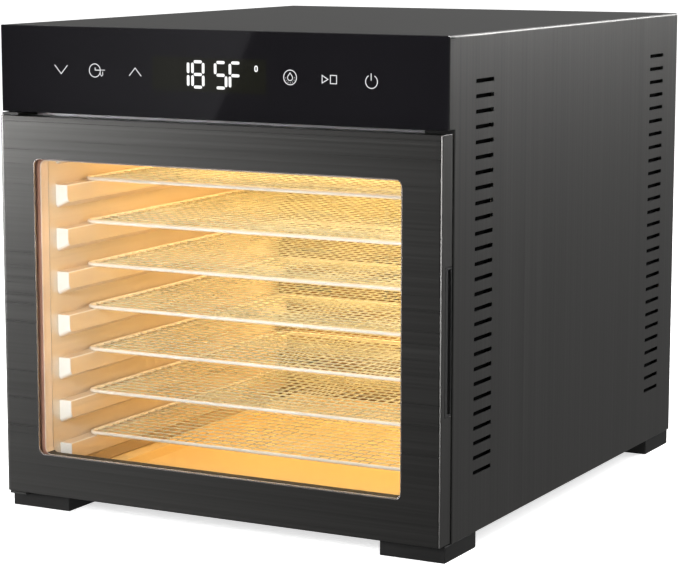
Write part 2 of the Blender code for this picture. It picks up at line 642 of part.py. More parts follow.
def tube(name, points, radius, material):
    """A round tube along a polyline, turned into a closed mesh."""
    data = bpy.data.curves.new(name + "_path", "CURVE")
    data.dimensions = "3D"
    data.bevel_depth = radius
    data.bevel_resolution = 2
    data.render_resolution_u = 0
    data.use_fill_caps = True
    line = data.splines.new("POLY")
    line.points.add(len(points) - 1)
    for point, place in zip(line.points, points):
        point.co = (*place, 1.0)
    path = bpy.data.objects.new(name + "_path", data)
    PARTS.objects.link(path)
    bpy.context.view_layer.update()
    depsgraph = bpy.context.evaluated_depsgraph_get()
    mesh = bpy.data.meshes.new_from_object(path.evaluated_get(depsgraph))
    bpy.data.objects.remove(path, do_unlink=True)
    bm = bmesh.new()
    bm.from_mesh(mesh)
    bmesh.ops.remove_doubles(bm, verts=bm.verts, dist=1e-6)
    bmesh.ops.recalc_face_normals(bm, faces=bm.faces)
    bm.to_mesh(mesh)
    bm.free()
    mesh.materials.clear()
    mesh.name = name
    shade_round(mesh)
    return add_object(name, mesh, material)


def smooth_route(route, per_span):
    """Points on a smooth curve through the route's own points."""
    points = [Vector(p) * MM for p in route]
    padded = [2 * points[0] - points[1]] + points + [2 * points[-1] - points[-2]]
    result = []
    for before, start, end, after in zip(padded, padded[1:], padded[2:], padded[3:]):
        for step in range(per_span):
            t = step / per_span
            pull = (end - before) * 0.5
            push = (after - start) * 0.5
            a = 2 * t ** 3 - 3 * t ** 2 + 1
            b = t ** 3 - 2 * t ** 2 + t
            c = -2 * t ** 3 + 3 * t ** 2
            d = t ** 3 - t ** 2
            result.append(a * start + b * pull + c * end + d * push)
    result.append(points[-1])
    return result


def heater():
    """Ring element around the fan, its legs through the fan plate, and its two clips."""
    turns = 36
    start = math.radians(-90 + 10)
    sweep = math.radians(340)
    ring = []
    for index in range(turns + 1):
        angle = start + sweep * index / turns
        ring.append(Vector((HEATER_RADIUS * math.cos(angle), HEATER_Y, FAN_Z + HEATER_RADIUS * math.sin(angle))))
    leg = Vector((0, 24 * MM, 0))
    first, last = ring[0], ring[-1]
    soften = Vector((0, 3 * MM, 0))
    path = [first + leg, first + 2 * soften, first + soften] + ring[1:-1] + [last + soften, last + 2 * soften,
                                                                             last + leg]
    tube("heater_ring", path, HEATER_TUBE, "heater_steel")
    offset = HEATER_RADIUS + HEATER_TUBE + 3.5 * MM
    for label, side in (("left", -1), ("right", 1)):
        x = side * offset
        box(f"heater_clip_{label}", (x - 3 * MM, x + 3 * MM), (HEATER_Y - 4 * MM, FAN_PLATE_Y - GAP),
            (FAN_Z - 8 * MM, FAN_Z + 8 * MM), "zinc_plate")
    return first, last


def fan_and_motor():
    first, last = heater()
    edge = WALL_X + LINER
    plate = box("fan_plate", (-edge, edge), (FAN_PLATE_Y, FAN_PLATE_Y + LINER), (FLOOR_Z, CEILING_Z),
                "zinc_plate")
    cut_hole(plate, "shaft_hole", (0, FAN_PLATE_Y, FAN_Z), SHAFT_HOLE, 10 * MM, "Y")
    for label, end in (("a", first), ("b", last)):
        cut_hole(plate, "leg_" + label, (end.x, FAN_PLATE_Y, end.z), HEATER_TUBE + 0.8 * MM, 10 * MM, "Y", 16)
    motor = box("fan_motor", (-33 * MM, 33 * MM), (FAN_PLATE_Y + LINER + 4 * MM, FAN_PLATE_Y + LINER + 20 * MM),
                (FAN_Z - 46 * MM, FAN_Z + 26 * MM), "motor_steel")
    join_box(motor, "coil", (-22 * MM, 22 * MM), (FAN_PLATE_Y + LINER + GAP, FAN_PLATE_Y + LINER + 27 * MM),
             (FAN_Z - 42 * MM, FAN_Z - 16 * MM))
    boss = cylinder("fan_motor_boss", (0, FAN_PLATE_Y + LINER + 14 * MM, FAN_Z), 13 * MM, 26 * MM, "Y",
                    cutter=True)
    boolean(motor, boss, "UNION")
    cut_hole(motor, "bore", (0, FAN_PLATE_Y + 10 * MM, FAN_Z), SHAFT_HOLE, 60 * MM, "Y")
    axis = bpy.data.objects.new("fan_axis", None)
    PARTS.objects.link(axis)
    axis.location = (0, HEATER_Y, FAN_Z)
    cylinder("fan_shaft", (0, 168 * MM, FAN_Z), SHAFT_RADIUS, 40 * MM, "Y", "zinc_plate", axis)
    fan_blades(axis)


def fan_blades(axis):
    """Pressed fan: a hub with six pitched blades, clear of the shaft."""
    fan = cylinder("fan_blades", (0, HEATER_Y, FAN_Z), 14 * MM, 12 * MM, "Y", "zinc_plate", axis)
    mesh = bpy.data.meshes.new("fan_blades_vanes")
    bm = bmesh.new()
    for index in range(6):
        made = bmesh.ops.create_cube(bm, size=1.0)["verts"]
        reach = FAN_RADIUS - 10 * MM
        bmesh.ops.scale(bm, vec=(reach, 1.2 * MM, 26 * MM), verts=made)
        bmesh.ops.rotate(bm, matrix=Matrix.Rotation(math.radians(28), 3, "X"), verts=made)
        bmesh.ops.translate(bm, vec=(10 * MM + reach / 2, 0, 0), verts=made)
        bmesh.ops.rotate(bm, matrix=Matrix.Rotation(math.radians(60 * index), 3, "Y"), verts=made)
    bm.to_mesh(mesh)
    bm.free()
    vanes = add_object("fan_blades_vanes", mesh, "", place=(0, HEATER_Y, FAN_Z), cutter=True)
    boolean(fan, vanes, "UNION")
    cut_hole(fan, "bore", (0, HEATER_Y + 6 * MM, FAN_Z), SHAFT_RADIUS + GAP, 10.6 * MM, "Y")


def electronics():
    board = box("power_board", (-140 * MM, -62 * MM), (172 * MM, 173.6 * MM), (196 * MM, 262 * MM),
                "circuit_green")
    for index, (x, z, width, height, deep) in enumerate(((-122, 240, 19, 15, 15), (-96, 244, 22, 22, 18),
                                                         (-118, 212, 30, 12, 10), (-80, 214, 14, 20, 12))):
        low = (x * MM, z * MM)
        join_box(board, f"part_{index}", (low[0] - width / 2 * MM, low[0] + width / 2 * MM),
                 (173 * MM, 173.6 * MM + deep * MM), (low[1] - height / 2 * MM, low[1] + height / 2 * MM))
    cylinder("temperature_probe", (112 * MM, 147 * MM, 236 * MM), 2.5 * MM, 24 * MM, "Y", "zinc_plate", sides=16)
    cylinder("thermal_fuse", (70 * MM, 168 * MM, 215 * MM), 4 * MM, 24 * MM, "X", "motor_steel", sides=16)
    route = [(-100, 176, 265), (-100, 178, 285), (-96, 160, 300), (-70, 90, 303), (-50, 0, 301),
             (-40, -90, 303), (-30, -150, 304), (-30, -186, 304)]
    tube("wiring_harness", smooth_route(route, 4), 2.5 * MM, "black_rubber")


make_finishes()
shell()
back_panel()
feet()
control_panel()
chamber()
drip_tray()
for number in range(RACK_COUNT):
    rack(number)
door()
hinge_plates()
fan_and_motor()
electronics()
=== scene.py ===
"""Looks of a countertop food dehydrator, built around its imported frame. The front faces -Y, in metres."""
import math

import bmesh
import bpy
from mathutils import Matrix, Vector


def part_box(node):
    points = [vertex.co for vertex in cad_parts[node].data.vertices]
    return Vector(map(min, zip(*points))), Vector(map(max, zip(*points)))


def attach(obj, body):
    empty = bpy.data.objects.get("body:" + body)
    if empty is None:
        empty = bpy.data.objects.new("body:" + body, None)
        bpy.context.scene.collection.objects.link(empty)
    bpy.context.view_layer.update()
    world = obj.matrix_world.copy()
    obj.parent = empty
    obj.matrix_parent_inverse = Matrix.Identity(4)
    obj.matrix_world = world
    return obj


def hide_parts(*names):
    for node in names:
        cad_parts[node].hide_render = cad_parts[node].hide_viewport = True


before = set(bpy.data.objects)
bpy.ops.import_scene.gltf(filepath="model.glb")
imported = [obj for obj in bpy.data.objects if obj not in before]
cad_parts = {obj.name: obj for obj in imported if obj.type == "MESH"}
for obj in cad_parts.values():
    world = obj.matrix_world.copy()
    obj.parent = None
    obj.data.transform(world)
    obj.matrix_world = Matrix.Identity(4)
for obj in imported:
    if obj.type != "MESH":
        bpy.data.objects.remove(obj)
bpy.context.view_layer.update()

bl_info = {
    "name": "Food Dehydrator",
    "version": (1, 0, 0),
    "blender": (4, 5, 0),
    "location": "View3D > Sidebar > Dehydrator",
    "description": "Builds the visible pieces of a box food dehydrator",
    "category": "Object",
}

MM = 0.001


ROOT = "cabinet"
DOOR = "door"
FAN = "fan"
RACKS = sorted(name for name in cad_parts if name.startswith("rack_"))


# ---------------------------------------------------------------- user values

class DehydratorSizes(bpy.types.PropertyGroup):
    """Sizes of the visible detail, in metres."""

    sheet: bpy.props.FloatProperty(name="Sheet", description="Thickness of the outer sheet steel",
                                   default=0.8 * MM, unit="LENGTH")
    fold_radius: bpy.props.FloatProperty(name="Fold radius",
                                         description="Radius where the side folds into the top",
                                         default=1.6 * MM, unit="LENGTH")
    slot_count: bpy.props.IntProperty(name="Louvres", description="Louvre slots in each column", default=27)
    slot_pitch: bpy.props.FloatProperty(name="Louvre pitch", description="Height from slot to slot",
                                        default=9.84 * MM, unit="LENGTH")
    slot_height: bpy.props.FloatProperty(name="Louvre height", description="Open height of a slot",
                                         default=2.7 * MM, unit="LENGTH")
    slot_length: bpy.props.FloatProperty(name="Louvre length", description="Open length of a slot",
                                         default=27.6 * MM, unit="LENGTH")
    rim_wire: bpy.props.FloatProperty(name="Rim wire", description="Diameter of a rack's rim wire",
                                      default=2.7 * MM, unit="LENGTH")
    mesh_wire: bpy.props.FloatProperty(name="Mesh wire", description="Diameter of a rack's mesh wires",
                                       default=0.8 * MM, unit="LENGTH")
    mesh_pitch_x: bpy.props.FloatProperty(name="Mesh pitch across",
                                          description="Distance from wire to wire across",
                                          default=7.6 * MM, unit="LENGTH")
    mesh_pitch_y: bpy.props.FloatProperty(name="Mesh pitch deep",
                                          description="Distance from wire to wire front to back",
                                          default=9.6 * MM, unit="LENGTH")
    rack_corner: bpy.props.FloatProperty(name="Rack corner", description="Corner radius of a rack's rim",
                                         default=6.0 * MM, unit="LENGTH")


class DehydratorColours(bpy.types.PropertyGroup):
    """Colours of the main finishes, in linear light."""

    steel: bpy.props.FloatVectorProperty(name="Black steel", description="Colour of the coated brushed steel",
                                         subtype="COLOR", default=(0.135, 0.133, 0.129))
    panel: bpy.props.FloatVectorProperty(name="Panel glass",
                                         description="Colour printed behind the panel glass",
                                         subtype="COLOR", default=(0.0036, 0.0033, 0.0042))
    # Liner colour: stainless sheet, with the chamber lamp's warm light partly painted in as a peach cast.
    liner: bpy.props.FloatVectorProperty(name="Liner", description="Colour of the chamber's stainless sheet",
                                         subtype="COLOR", default=(0.82, 0.71, 0.585))
    wire: bpy.props.FloatVectorProperty(name="Rack wire", description="Colour of the plated rack wire",
                                        subtype="COLOR", default=(0.74, 0.79, 0.66))
    print_white: bpy.props.FloatVectorProperty(name="Panel print", description="Colour of the key symbols",
                                               subtype="COLOR", default=(0.78, 0.78, 0.80))
    glow: bpy.props.FloatVectorProperty(name="Chamber glow", description="Colour of the chamber lamp's light",
                                        subtype="COLOR", default=(1.0, 0.60, 0.22))


def sizes():
    return bpy.context.scene.dehydrator_sizes


def colours():
    return bpy.context.scene.dehydrator_colours


# ---------------------------------------------------------------- materials

def start_material(name):
    """A material with one Principled shader, and the shader's node tree."""
    material = bpy.data.materials.new(name)
    material.use_nodes = True
    tree = material.node_tree
    return material, tree, tree.nodes["Principled BSDF"]


def object_vector(tree, scale):
    """Object coordinates in metres, stretched by scale along each axis."""
    coords = tree.nodes.new("ShaderNodeTexCoord")
    mapping = tree.nodes.new("ShaderNodeMapping")
    mapping.inputs["Scale"].default_value = scale
    tree.links.new(coords.outputs["Object"], mapping.inputs["Vector"])
    return mapping.outputs["Vector"]


def noise(tree, scale, detail=3.0, roughness=0.55):
    """Noise in object space; scale is one number, or one for each axis."""
    scale = (scale,) * 3 if isinstance(scale, float) else scale
    node = tree.nodes.new("ShaderNodeTexNoise")
    node.inputs["Scale"].default_value = 1.0
    node.inputs["Detail"].default_value = detail
    node.inputs["Roughness"].default_value = roughness
    tree.links.new(object_vector(tree, scale), node.inputs["Vector"])
    return node.outputs["Fac"]


def remap(tree, value, low, high, from_low=0.3, from_high=0.7):
    node = tree.nodes.new("ShaderNodeMapRange")
    node.inputs["From Min"].default_value = from_low
    node.inputs["From Max"].default_value = from_high
    node.inputs["To Min"].default_value = low
    node.inputs["To Max"].default_value = high
    tree.links.new(value, node.inputs["Value"])
    return node.outputs["Result"]


def blend_colours(tree, value, first, second, low=0.3, high=0.7):
    node = tree.nodes.new("ShaderNodeValToRGB")
    node.color_ramp.elements[0].position = low
    node.color_ramp.elements[0].color = (*first, 1.0)
    node.color_ramp.elements[1].position = high
    node.color_ramp.elements[1].color = (*second, 1.0)
    tree.links.new(value, node.inputs["Fac"])
    return node.outputs["Color"]


def add_bump(tree, shader, height, strength, distance):
    node = tree.nodes.new("ShaderNodeBump")
    node.inputs["Strength"].default_value = strength
    node.inputs["Distance"].default_value = distance
    tree.links.new(height, node.inputs["Height"])
    tree.links.new(node.outputs["Normal"], shader.inputs["Normal"])


def sum_of(tree, first, second, share):
    """first * share + second * (1 - share)."""
    node = tree.nodes.new("ShaderNodeMix")
    node.data_type = "FLOAT"
    node.inputs["Factor"].default_value = share
    tree.links.new(second, node.inputs["A"])
    tree.links.new(first, node.inputs["B"])
    return node.outputs["Result"]


def scaled(colour, factor):
    return tuple(channel * factor for channel in colour)


def brushed(name, colour, grain, metallic=1.0, rough=(0.34, 0.42), spread=(0.90, 1.10), bump=0.05):
    """Brushed metal; grain gives the stretch of the brush lines along X, Y and Z."""
    material, tree, shader = start_material(name)
    fine = noise(tree, grain, 4.0, 0.6)
    strokes = noise(tree, scaled(grain, 0.42), 2.0, 0.5)
    lines = sum_of(tree, fine, strokes, 0.5)
    dark, light = (scaled(colour, factor) for factor in spread)
    tree.links.new(blend_colours(tree, lines, dark, light, 0.36, 0.64), shader.inputs["Base Color"])
    tree.links.new(remap(tree, lines, *rough, 0.35, 0.65), shader.inputs["Roughness"])
    shader.inputs["Metallic"].default_value = metallic
    add_bump(tree, shader, fine, bump, 0.02 * MM)
    return material


GRAIN_FINE = 900.0
GRAIN_LONG = 2.2
GRAIN_UPRIGHT = (GRAIN_FINE, GRAIN_FINE, GRAIN_LONG)
GRAIN_ACROSS = (GRAIN_LONG, GRAIN_FINE, GRAIN_FINE)
GRAIN_DEEP = (GRAIN_FINE, GRAIN_LONG, GRAIN_FINE)


def satin_solid(name, colour, rough=(0.45, 0.6), metallic=0.0, grain=1400.0, spread=(0.85, 1.15),
                bump=0.15, gloss=0.5):
    """Moulded plastic, rubber or plain metal with a fine even texture."""
    material, tree, shader = start_material(name)
    fine = noise(tree, grain, 3.0, 0.6)
    patch = noise(tree, 22.0, 2.0, 0.5)
    dark, light = (scaled(colour, factor) for factor in spread)
    tree.links.new(blend_colours(tree, patch, dark, light), shader.inputs["Base Color"])
    tree.links.new(remap(tree, patch, *rough), shader.inputs["Roughness"])
    shader.inputs["Metallic"].default_value = metallic
    shader.inputs["Specular IOR Level"].default_value = gloss
    add_bump(tree, shader, fine, bump, 0.03 * MM)
    return material


def black_glass_material():
    """Panel glass with a dark print behind it."""
    material, tree, shader = start_material("black_panel_glass")
    haze = noise(tree, 9.0, 3.0, 0.5)
    colour = tuple(colours().panel)
    shade = blend_colours(tree, haze, scaled(colour, 0.9), scaled(colour, 1.1))
    tree.links.new(shade, shader.inputs["Base Color"])
    tree.links.new(remap(tree, haze, 0.03, 0.06), shader.inputs["Roughness"])
    shader.inputs["IOR"].default_value = 1.5
    return material


def display_material():
    """The dark window that the figures shine through."""
    material, tree, shader = start_material("display_window_tint")
    haze = noise(tree, 240.0, 2.0, 0.5)
    tree.links.new(blend_colours(tree, haze, (0.0040, 0.0040, 0.0026), (0.0048, 0.0048, 0.0032)),
                   shader.inputs["Base Color"])
    tree.links.new(remap(tree, haze, 0.05, 0.09), shader.inputs["Roughness"])
    return material


def lit_material(name, colour, strength):
    """A lit or printed symbol: its light varies a little over its surface."""
    material, tree, shader = start_material(name)
    grain = noise(tree, 500.0, 2.0, 0.5)
    shader.inputs["Base Color"].default_value = (0.04, 0.04, 0.04, 1.0)
    tree.links.new(blend_colours(tree, grain, scaled(colour, 0.94), colour), shader.inputs["Emission Color"])
    shader.inputs["Emission Strength"].default_value = strength
    shader.inputs["Roughness"].default_value = 0.4
    return material


PANE_BODY = 0.91


def clear_glass_material():
    """Flat clear glass: it lets the view through and mirrors at a slant."""
    material, tree, shader = start_material("door_pane_glass")
    smear = noise(tree, (14.0, 14.0, 30.0), 3.0, 0.5)
    tree.links.new(remap(tree, smear, 0.015, 0.035), shader.inputs["Roughness"])
    tree.links.new(blend_colours(tree, smear, (0.02, 0.018, 0.016), (0.03, 0.026, 0.022)),
                   shader.inputs["Base Color"])
    through = tree.nodes.new("ShaderNodeBsdfTransparent")
    through.inputs["Color"].default_value = (PANE_BODY, PANE_BODY, PANE_BODY * 0.985, 1.0)
    facing = tree.nodes.new("ShaderNodeLayerWeight")
    slant = tree.nodes.new("ShaderNodeMath")
    slant.operation = "POWER"
    slant.inputs[1].default_value = 5.0
    tree.links.new(facing.outputs["Facing"], slant.inputs[0])
    mix = tree.nodes.new("ShaderNodeMixShader")
    tree.links.new(remap(tree, slant.outputs["Value"], 0.03, 1.0, 0.0, 1.0), mix.inputs["Fac"])
    tree.links.new(through.outputs["BSDF"], mix.inputs[1])
    tree.links.new(shader.outputs["BSDF"], mix.inputs[2])
    tree.links.new(mix.outputs["Shader"], tree.nodes["Material Output"].inputs["Surface"])
    return material


def board_material():
    """Circuit board: green resist with paler tracks."""
    material, tree, shader = start_material("circuit_board")
    cells = tree.nodes.new("ShaderNodeTexBrick")
    cells.inputs["Color1"].default_value = (0.010, 0.085, 0.035, 1.0)
    cells.inputs["Color2"].default_value = (0.014, 0.105, 0.045, 1.0)
    cells.inputs["Mortar"].default_value = (0.05, 0.20, 0.08, 1.0)
    cells.inputs["Scale"].default_value = 1.0
    cells.inputs["Mortar Size"].default_value = 0.05
    tree.links.new(object_vector(tree, (160.0, 160.0, 160.0)), cells.inputs["Vector"])
    tree.links.new(cells.outputs["Color"], shader.inputs["Base Color"])
    grain = noise(tree, 300.0)
    tree.links.new(remap(tree, grain, 0.3, 0.5), shader.inputs["Roughness"])
    return material


def zinc_material():
    """Zinc plate with its spangle."""
    material, tree, shader = start_material("zinc_plate")
    cells = tree.nodes.new("ShaderNodeTexVoronoi")
    cells.inputs["Scale"].default_value = 1.0
    tree.links.new(object_vector(tree, (130.0, 130.0, 130.0)), cells.inputs["Vector"])
    tree.links.new(blend_colours(tree, cells.outputs["Color"], (0.40, 0.41, 0.42), (0.56, 0.57, 0.58)),
                   shader.inputs["Base Color"])
    tree.links.new(remap(tree, cells.outputs["Distance"], 0.32, 0.5, 0.0, 1.0), shader.inputs["Roughness"])
    shader.inputs["Metallic"].default_value = 1.0
    return material


MATERIALS = {}


def make_materials():
    """Every finish of the machine, by the plain name the pieces ask for."""
    steel, liner, wire = tuple(colours().steel), tuple(colours().liner), tuple(colours().wire)
    MATERIALS.update({
        "steel_upright": brushed("black_steel_upright_grain", steel, GRAIN_UPRIGHT, 1.0,
                                 (0.36, 0.40), (0.86, 1.14), 0.015),
        "steel_across": brushed("black_steel_cross_grain", steel, GRAIN_ACROSS, 1.0,
                                (0.27, 0.31), (0.94, 1.06), 0.02),
        "steel_plain": satin_solid("black_steel_back", scaled(steel, 0.8), (0.42, 0.45), 1.0,
                                   spread=(0.96, 1.04)),
        "panel_glass": black_glass_material(),
        "display": display_material(),
        "digits": lit_material("digit_light", (1.0, 1.0, 1.0), 1.05),
        "print": lit_material("key_print", tuple(colours().print_white), 1.0),
        "clear_glass": clear_glass_material(),
        "black_plastic": satin_solid("black_plastic", (0.010, 0.010, 0.009)),
        # Painted shade: near-black, barely reflecting plate behind the louvres, standing for the shade in the
        # slots.
        "louvre_shade": satin_solid("vent_duct_black", (0.0012, 0.0012, 0.0012), (0.85, 0.95), gloss=0.05),
        "pull": satin_solid("finger_pull_black", (0.0035, 0.0034, 0.0033), (0.6, 0.75)),
        "frame_plastic": satin_solid("rose_brown_frame", (0.44, 0.23, 0.17), (0.3, 0.4)),
        # Painted light: the opening's side wall is the frame's rose-brown plastic, coloured peach for the
        # chamber's warm light falling on it.
        "reveal": satin_solid("window_reveal_painted_warm_light", (0.80, 0.66, 0.54), (0.35, 0.45)),
        # Painted highlight: pale colour of the thin ring at the window opening's front corner, standing for
        # the frame edge's highlight.
        "highlight_ring": satin_solid("pane_edge_painted_highlight", (0.85, 0.74, 0.68), (0.25, 0.35)),
        "rubber": satin_solid("black_rubber", (0.022, 0.021, 0.020), (0.7, 0.85)),
        "feet": satin_solid("foot_plastic", (0.008, 0.0079, 0.0077), (0.42, 0.55), gloss=0.25),
        "gasket": satin_solid("silicone_gasket", (0.05, 0.048, 0.045), (0.6, 0.7)),
        # Liner: stainless steel whose colour partly holds painted warm light from the chamber lamp.
        "liner": brushed("stainless_liner", liner, GRAIN_DEEP, 0.35, (0.34, 0.48), (0.95, 1.03), 0.04),
        # Painted light: steel tinted golden, standing for the chamber lamp's warm light on the floor and the
        # drip pan.
        "tray": brushed("drip_pan_painted_warm_light", (0.85, 0.67, 0.36), GRAIN_DEEP, 0.35,
                        (0.3, 0.42), (0.94, 1.04), 0.04),
        # Painted shade: the rear baffle's steel is made dark brown, the shade deep in the chamber behind the
        # racks.
        "baffle": brushed("rear_baffle_painted_shade", (0.24, 0.16, 0.07), GRAIN_UPRIGHT, 0.35,
                          (0.34, 0.48), (0.93, 1.05), 0.04),
        "flange": satin_solid("mouth_flange_steel", (0.62, 0.62, 0.64), (0.35, 0.45), 0.5,
                              spread=(0.97, 1.03), bump=0.02),
        "wire": satin_solid("rack_wire_plate", wire, (0.22, 0.34), 0.35, 600.0, (0.90, 1.06), 0.05),
        # Painted highlight: the rim is the same plated wire as the mesh, made near-white where it catches the
        # light.
        "rim": satin_solid("rack_rim_painted_highlight", (0.97, 0.94, 0.89), (0.18, 0.28), 0.15, 600.0,
                           (0.95, 1.04), 0.05),
        "trim": satin_solid("window_trim", (0.30, 0.27, 0.26), (0.2, 0.3), 0.8),
        # Painted highlight: near-white finish for the ledges' faces that catch the front light and the lamp;
        # the ledges are the same liner sheet.
        "ledge_painted_highlight": satin_solid("ledge_front_painted_highlight", (0.93, 0.93, 0.92), (0.3, 0.4),
                                 spread=(0.98, 1.0), bump=0.03),
        "zinc": zinc_material(),
        "board": board_material(),
        "motor": satin_solid("motor_core", (0.30, 0.30, 0.32), (0.4, 0.55), 0.9, 900.0),
        "heater": satin_solid("heater_sheath", (0.16, 0.13, 0.11), (0.4, 0.6), 0.85, 900.0, (0.7, 1.3)),
        "lamp": lit_material("lamp_glow", (1.0, 0.72, 0.38), 3.0),
    })


# ---------------------------------------------------------------- shaping

def add_box(bm, low, high):
    """A box between two corners; returns its vertices."""
    low, high = Vector(low), Vector(high)
    made = bmesh.ops.create_cube(bm, size=1.0)["verts"]
    bmesh.ops.scale(bm, vec=high - low, verts=made)
    bmesh.ops.translate(bm, vec=(low + high) / 2, verts=made)
    return made


def edges_of(verts):
    return list(dict.fromkeys(edge for vert in verts for edge in vert.link_edges))


def only(kind, geom):
    """The vertices, edges or faces among the geometry that an operator made."""
    return [item for item in geom if isinstance(item, kind)]


def round_edges(bm, edges, radius, segments=2, clamp=True):
    return bmesh.ops.bevel(bm, geom=edges, offset=radius, segments=segments, profile=0.5, affect="EDGES",
                           material=-1, clamp_overlap=clamp)


def rounded_box(bm, low, high, radius):
    round_edges(bm, edges_of(add_box(bm, low, high)), radius)


def add_rod(bm, start, end, radius, sides=8):
    """A straight round rod with closed ends."""
    start, end = Vector(start), Vector(end)
    span = end - start
    turn = span.to_track_quat("Z", "Y").to_matrix().to_4x4()
    place = Matrix.Translation((start + end) / 2) @ turn
    bmesh.ops.create_cone(bm, cap_ends=True, segments=sides, radius1=radius, radius2=radius,
                          depth=span.length, matrix=place)


def add_disc(bm, centre, radius, depth, sides=32):
    """A short cylinder along Y whose middle is at centre; returns its vertices."""
    place = Matrix.Translation(centre) @ Matrix.Rotation(math.pi / 2, 4, "X")
    return bmesh.ops.create_cone(bm, cap_ends=True, segments=sides, radius1=radius, radius2=radius,
                                 depth=depth, matrix=place)["verts"]


def mesh_object(name, bm, material):
    """A linked object with the bmesh as its mesh and one material."""
    mesh = bpy.data.meshes.new(name)
    bm.to_mesh(mesh)
    bm.free()
    mesh.materials.append(material)
    obj = bpy.data.objects.new(name, mesh)
    bpy.context.scene.collection.objects.link(obj)
    return obj


def piece(name, bm, body, material, angle=35.0, stands_for=()):
    """Turn a bmesh into a visible piece that rides on a body."""
    obj = mesh_object(name, bm, MATERIALS[material])
    obj.data.shade_smooth()
    obj.data.set_sharp_from_angle(angle=math.radians(angle))
    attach(obj, body)
    if stands_for:
        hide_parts(*stands_for)
    return obj


def add_finish(obj, material, belongs):
    """Give the faces whose normal belongs a second finish."""
    obj.data.materials.append(MATERIALS[material])
    for face in obj.data.polygons:
        if belongs(face.normal):
            face.material_index = 1


def dress(material, *nodes):
    """Give CAD nodes that keep their own shape a finish."""
    for name in nodes:
        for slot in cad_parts[name].material_slots:
            slot.material = MATERIALS[material]


FLAT = 12.0
WELD = 0.001 * MM


def merged_copy(node):
    """A CAD node's mesh with its doubled vertices merged."""
    bm = bmesh.new()
    bm.from_mesh(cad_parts[node].data)
    bmesh.ops.remove_doubles(bm, verts=bm.verts, dist=WELD)
    return bm


def clear_flats(bm):
    """Dissolve the edges that lie inside a flat face."""
    bmesh.ops.dissolve_limit(bm, angle_limit=math.radians(0.5), verts=bm.verts, edges=bm.edges)


def round_corners(bm, radius, segments=2, angle=40.0):
    """Round every edge that turns by more than angle."""
    limit = math.radians(angle)
    sharp = [e for e in bm.edges if len(e.link_faces) == 2 and e.calc_face_angle() > limit]
    round_edges(bm, sharp, radius, segments)


def softened(name, node, body, material, radius, segments=2):
    """A copy of a CAD node with its sharp edges rounded and its flat faces kept flat."""
    bm = merged_copy(node)
    clear_flats(bm)
    round_corners(bm, radius, segments)
    return piece(name, bm, body, material, FLAT, (node,))


def line_grid(bm, lines_a, lines_b, is_open):
    """A flat grid in XY with lines at the given values, without the cells where is_open holds."""
    bmesh.ops.create_grid(bm, x_segments=len(lines_a) - 1, y_segments=len(lines_b) - 1, size=1.0)
    step_a, step_b = 2.0 / (len(lines_a) - 1), 2.0 / (len(lines_b) - 1)
    for vert in bm.verts:
        a, b = round((vert.co.x + 1.0) / step_a), round((vert.co.y + 1.0) / step_b)
        vert.co = Vector((lines_a[a], lines_b[b], 0.0))
    gone = [f for f in bm.faces if is_open(*f.calc_center_median().xy)]
    bmesh.ops.delete(bm, geom=gone, context="FACES")


# ---------------------------------------------------------------- outer shell

FOLD_MARGIN = 0.3 * MM
FOLD_STEPS = 5
SHELL_SMOOTH = 21.0
FRONT_EDGE = 0.55 * MM
NEAR = 0.01 * MM
TOP_SLOT = 307.5 * MM
COLUMN_MIDDLES = (-145.9 * MM, 164.0 * MM)
SLOT_CORNER = 0.8 * MM
# Place of the painted-shade plates just behind the louvres.
SHADE_PLATE_NEAR = 165.6 * MM
SHADE_PLATE_FAR = 166.2 * MM
SHADE_PLATE_MARGIN = 4 * MM


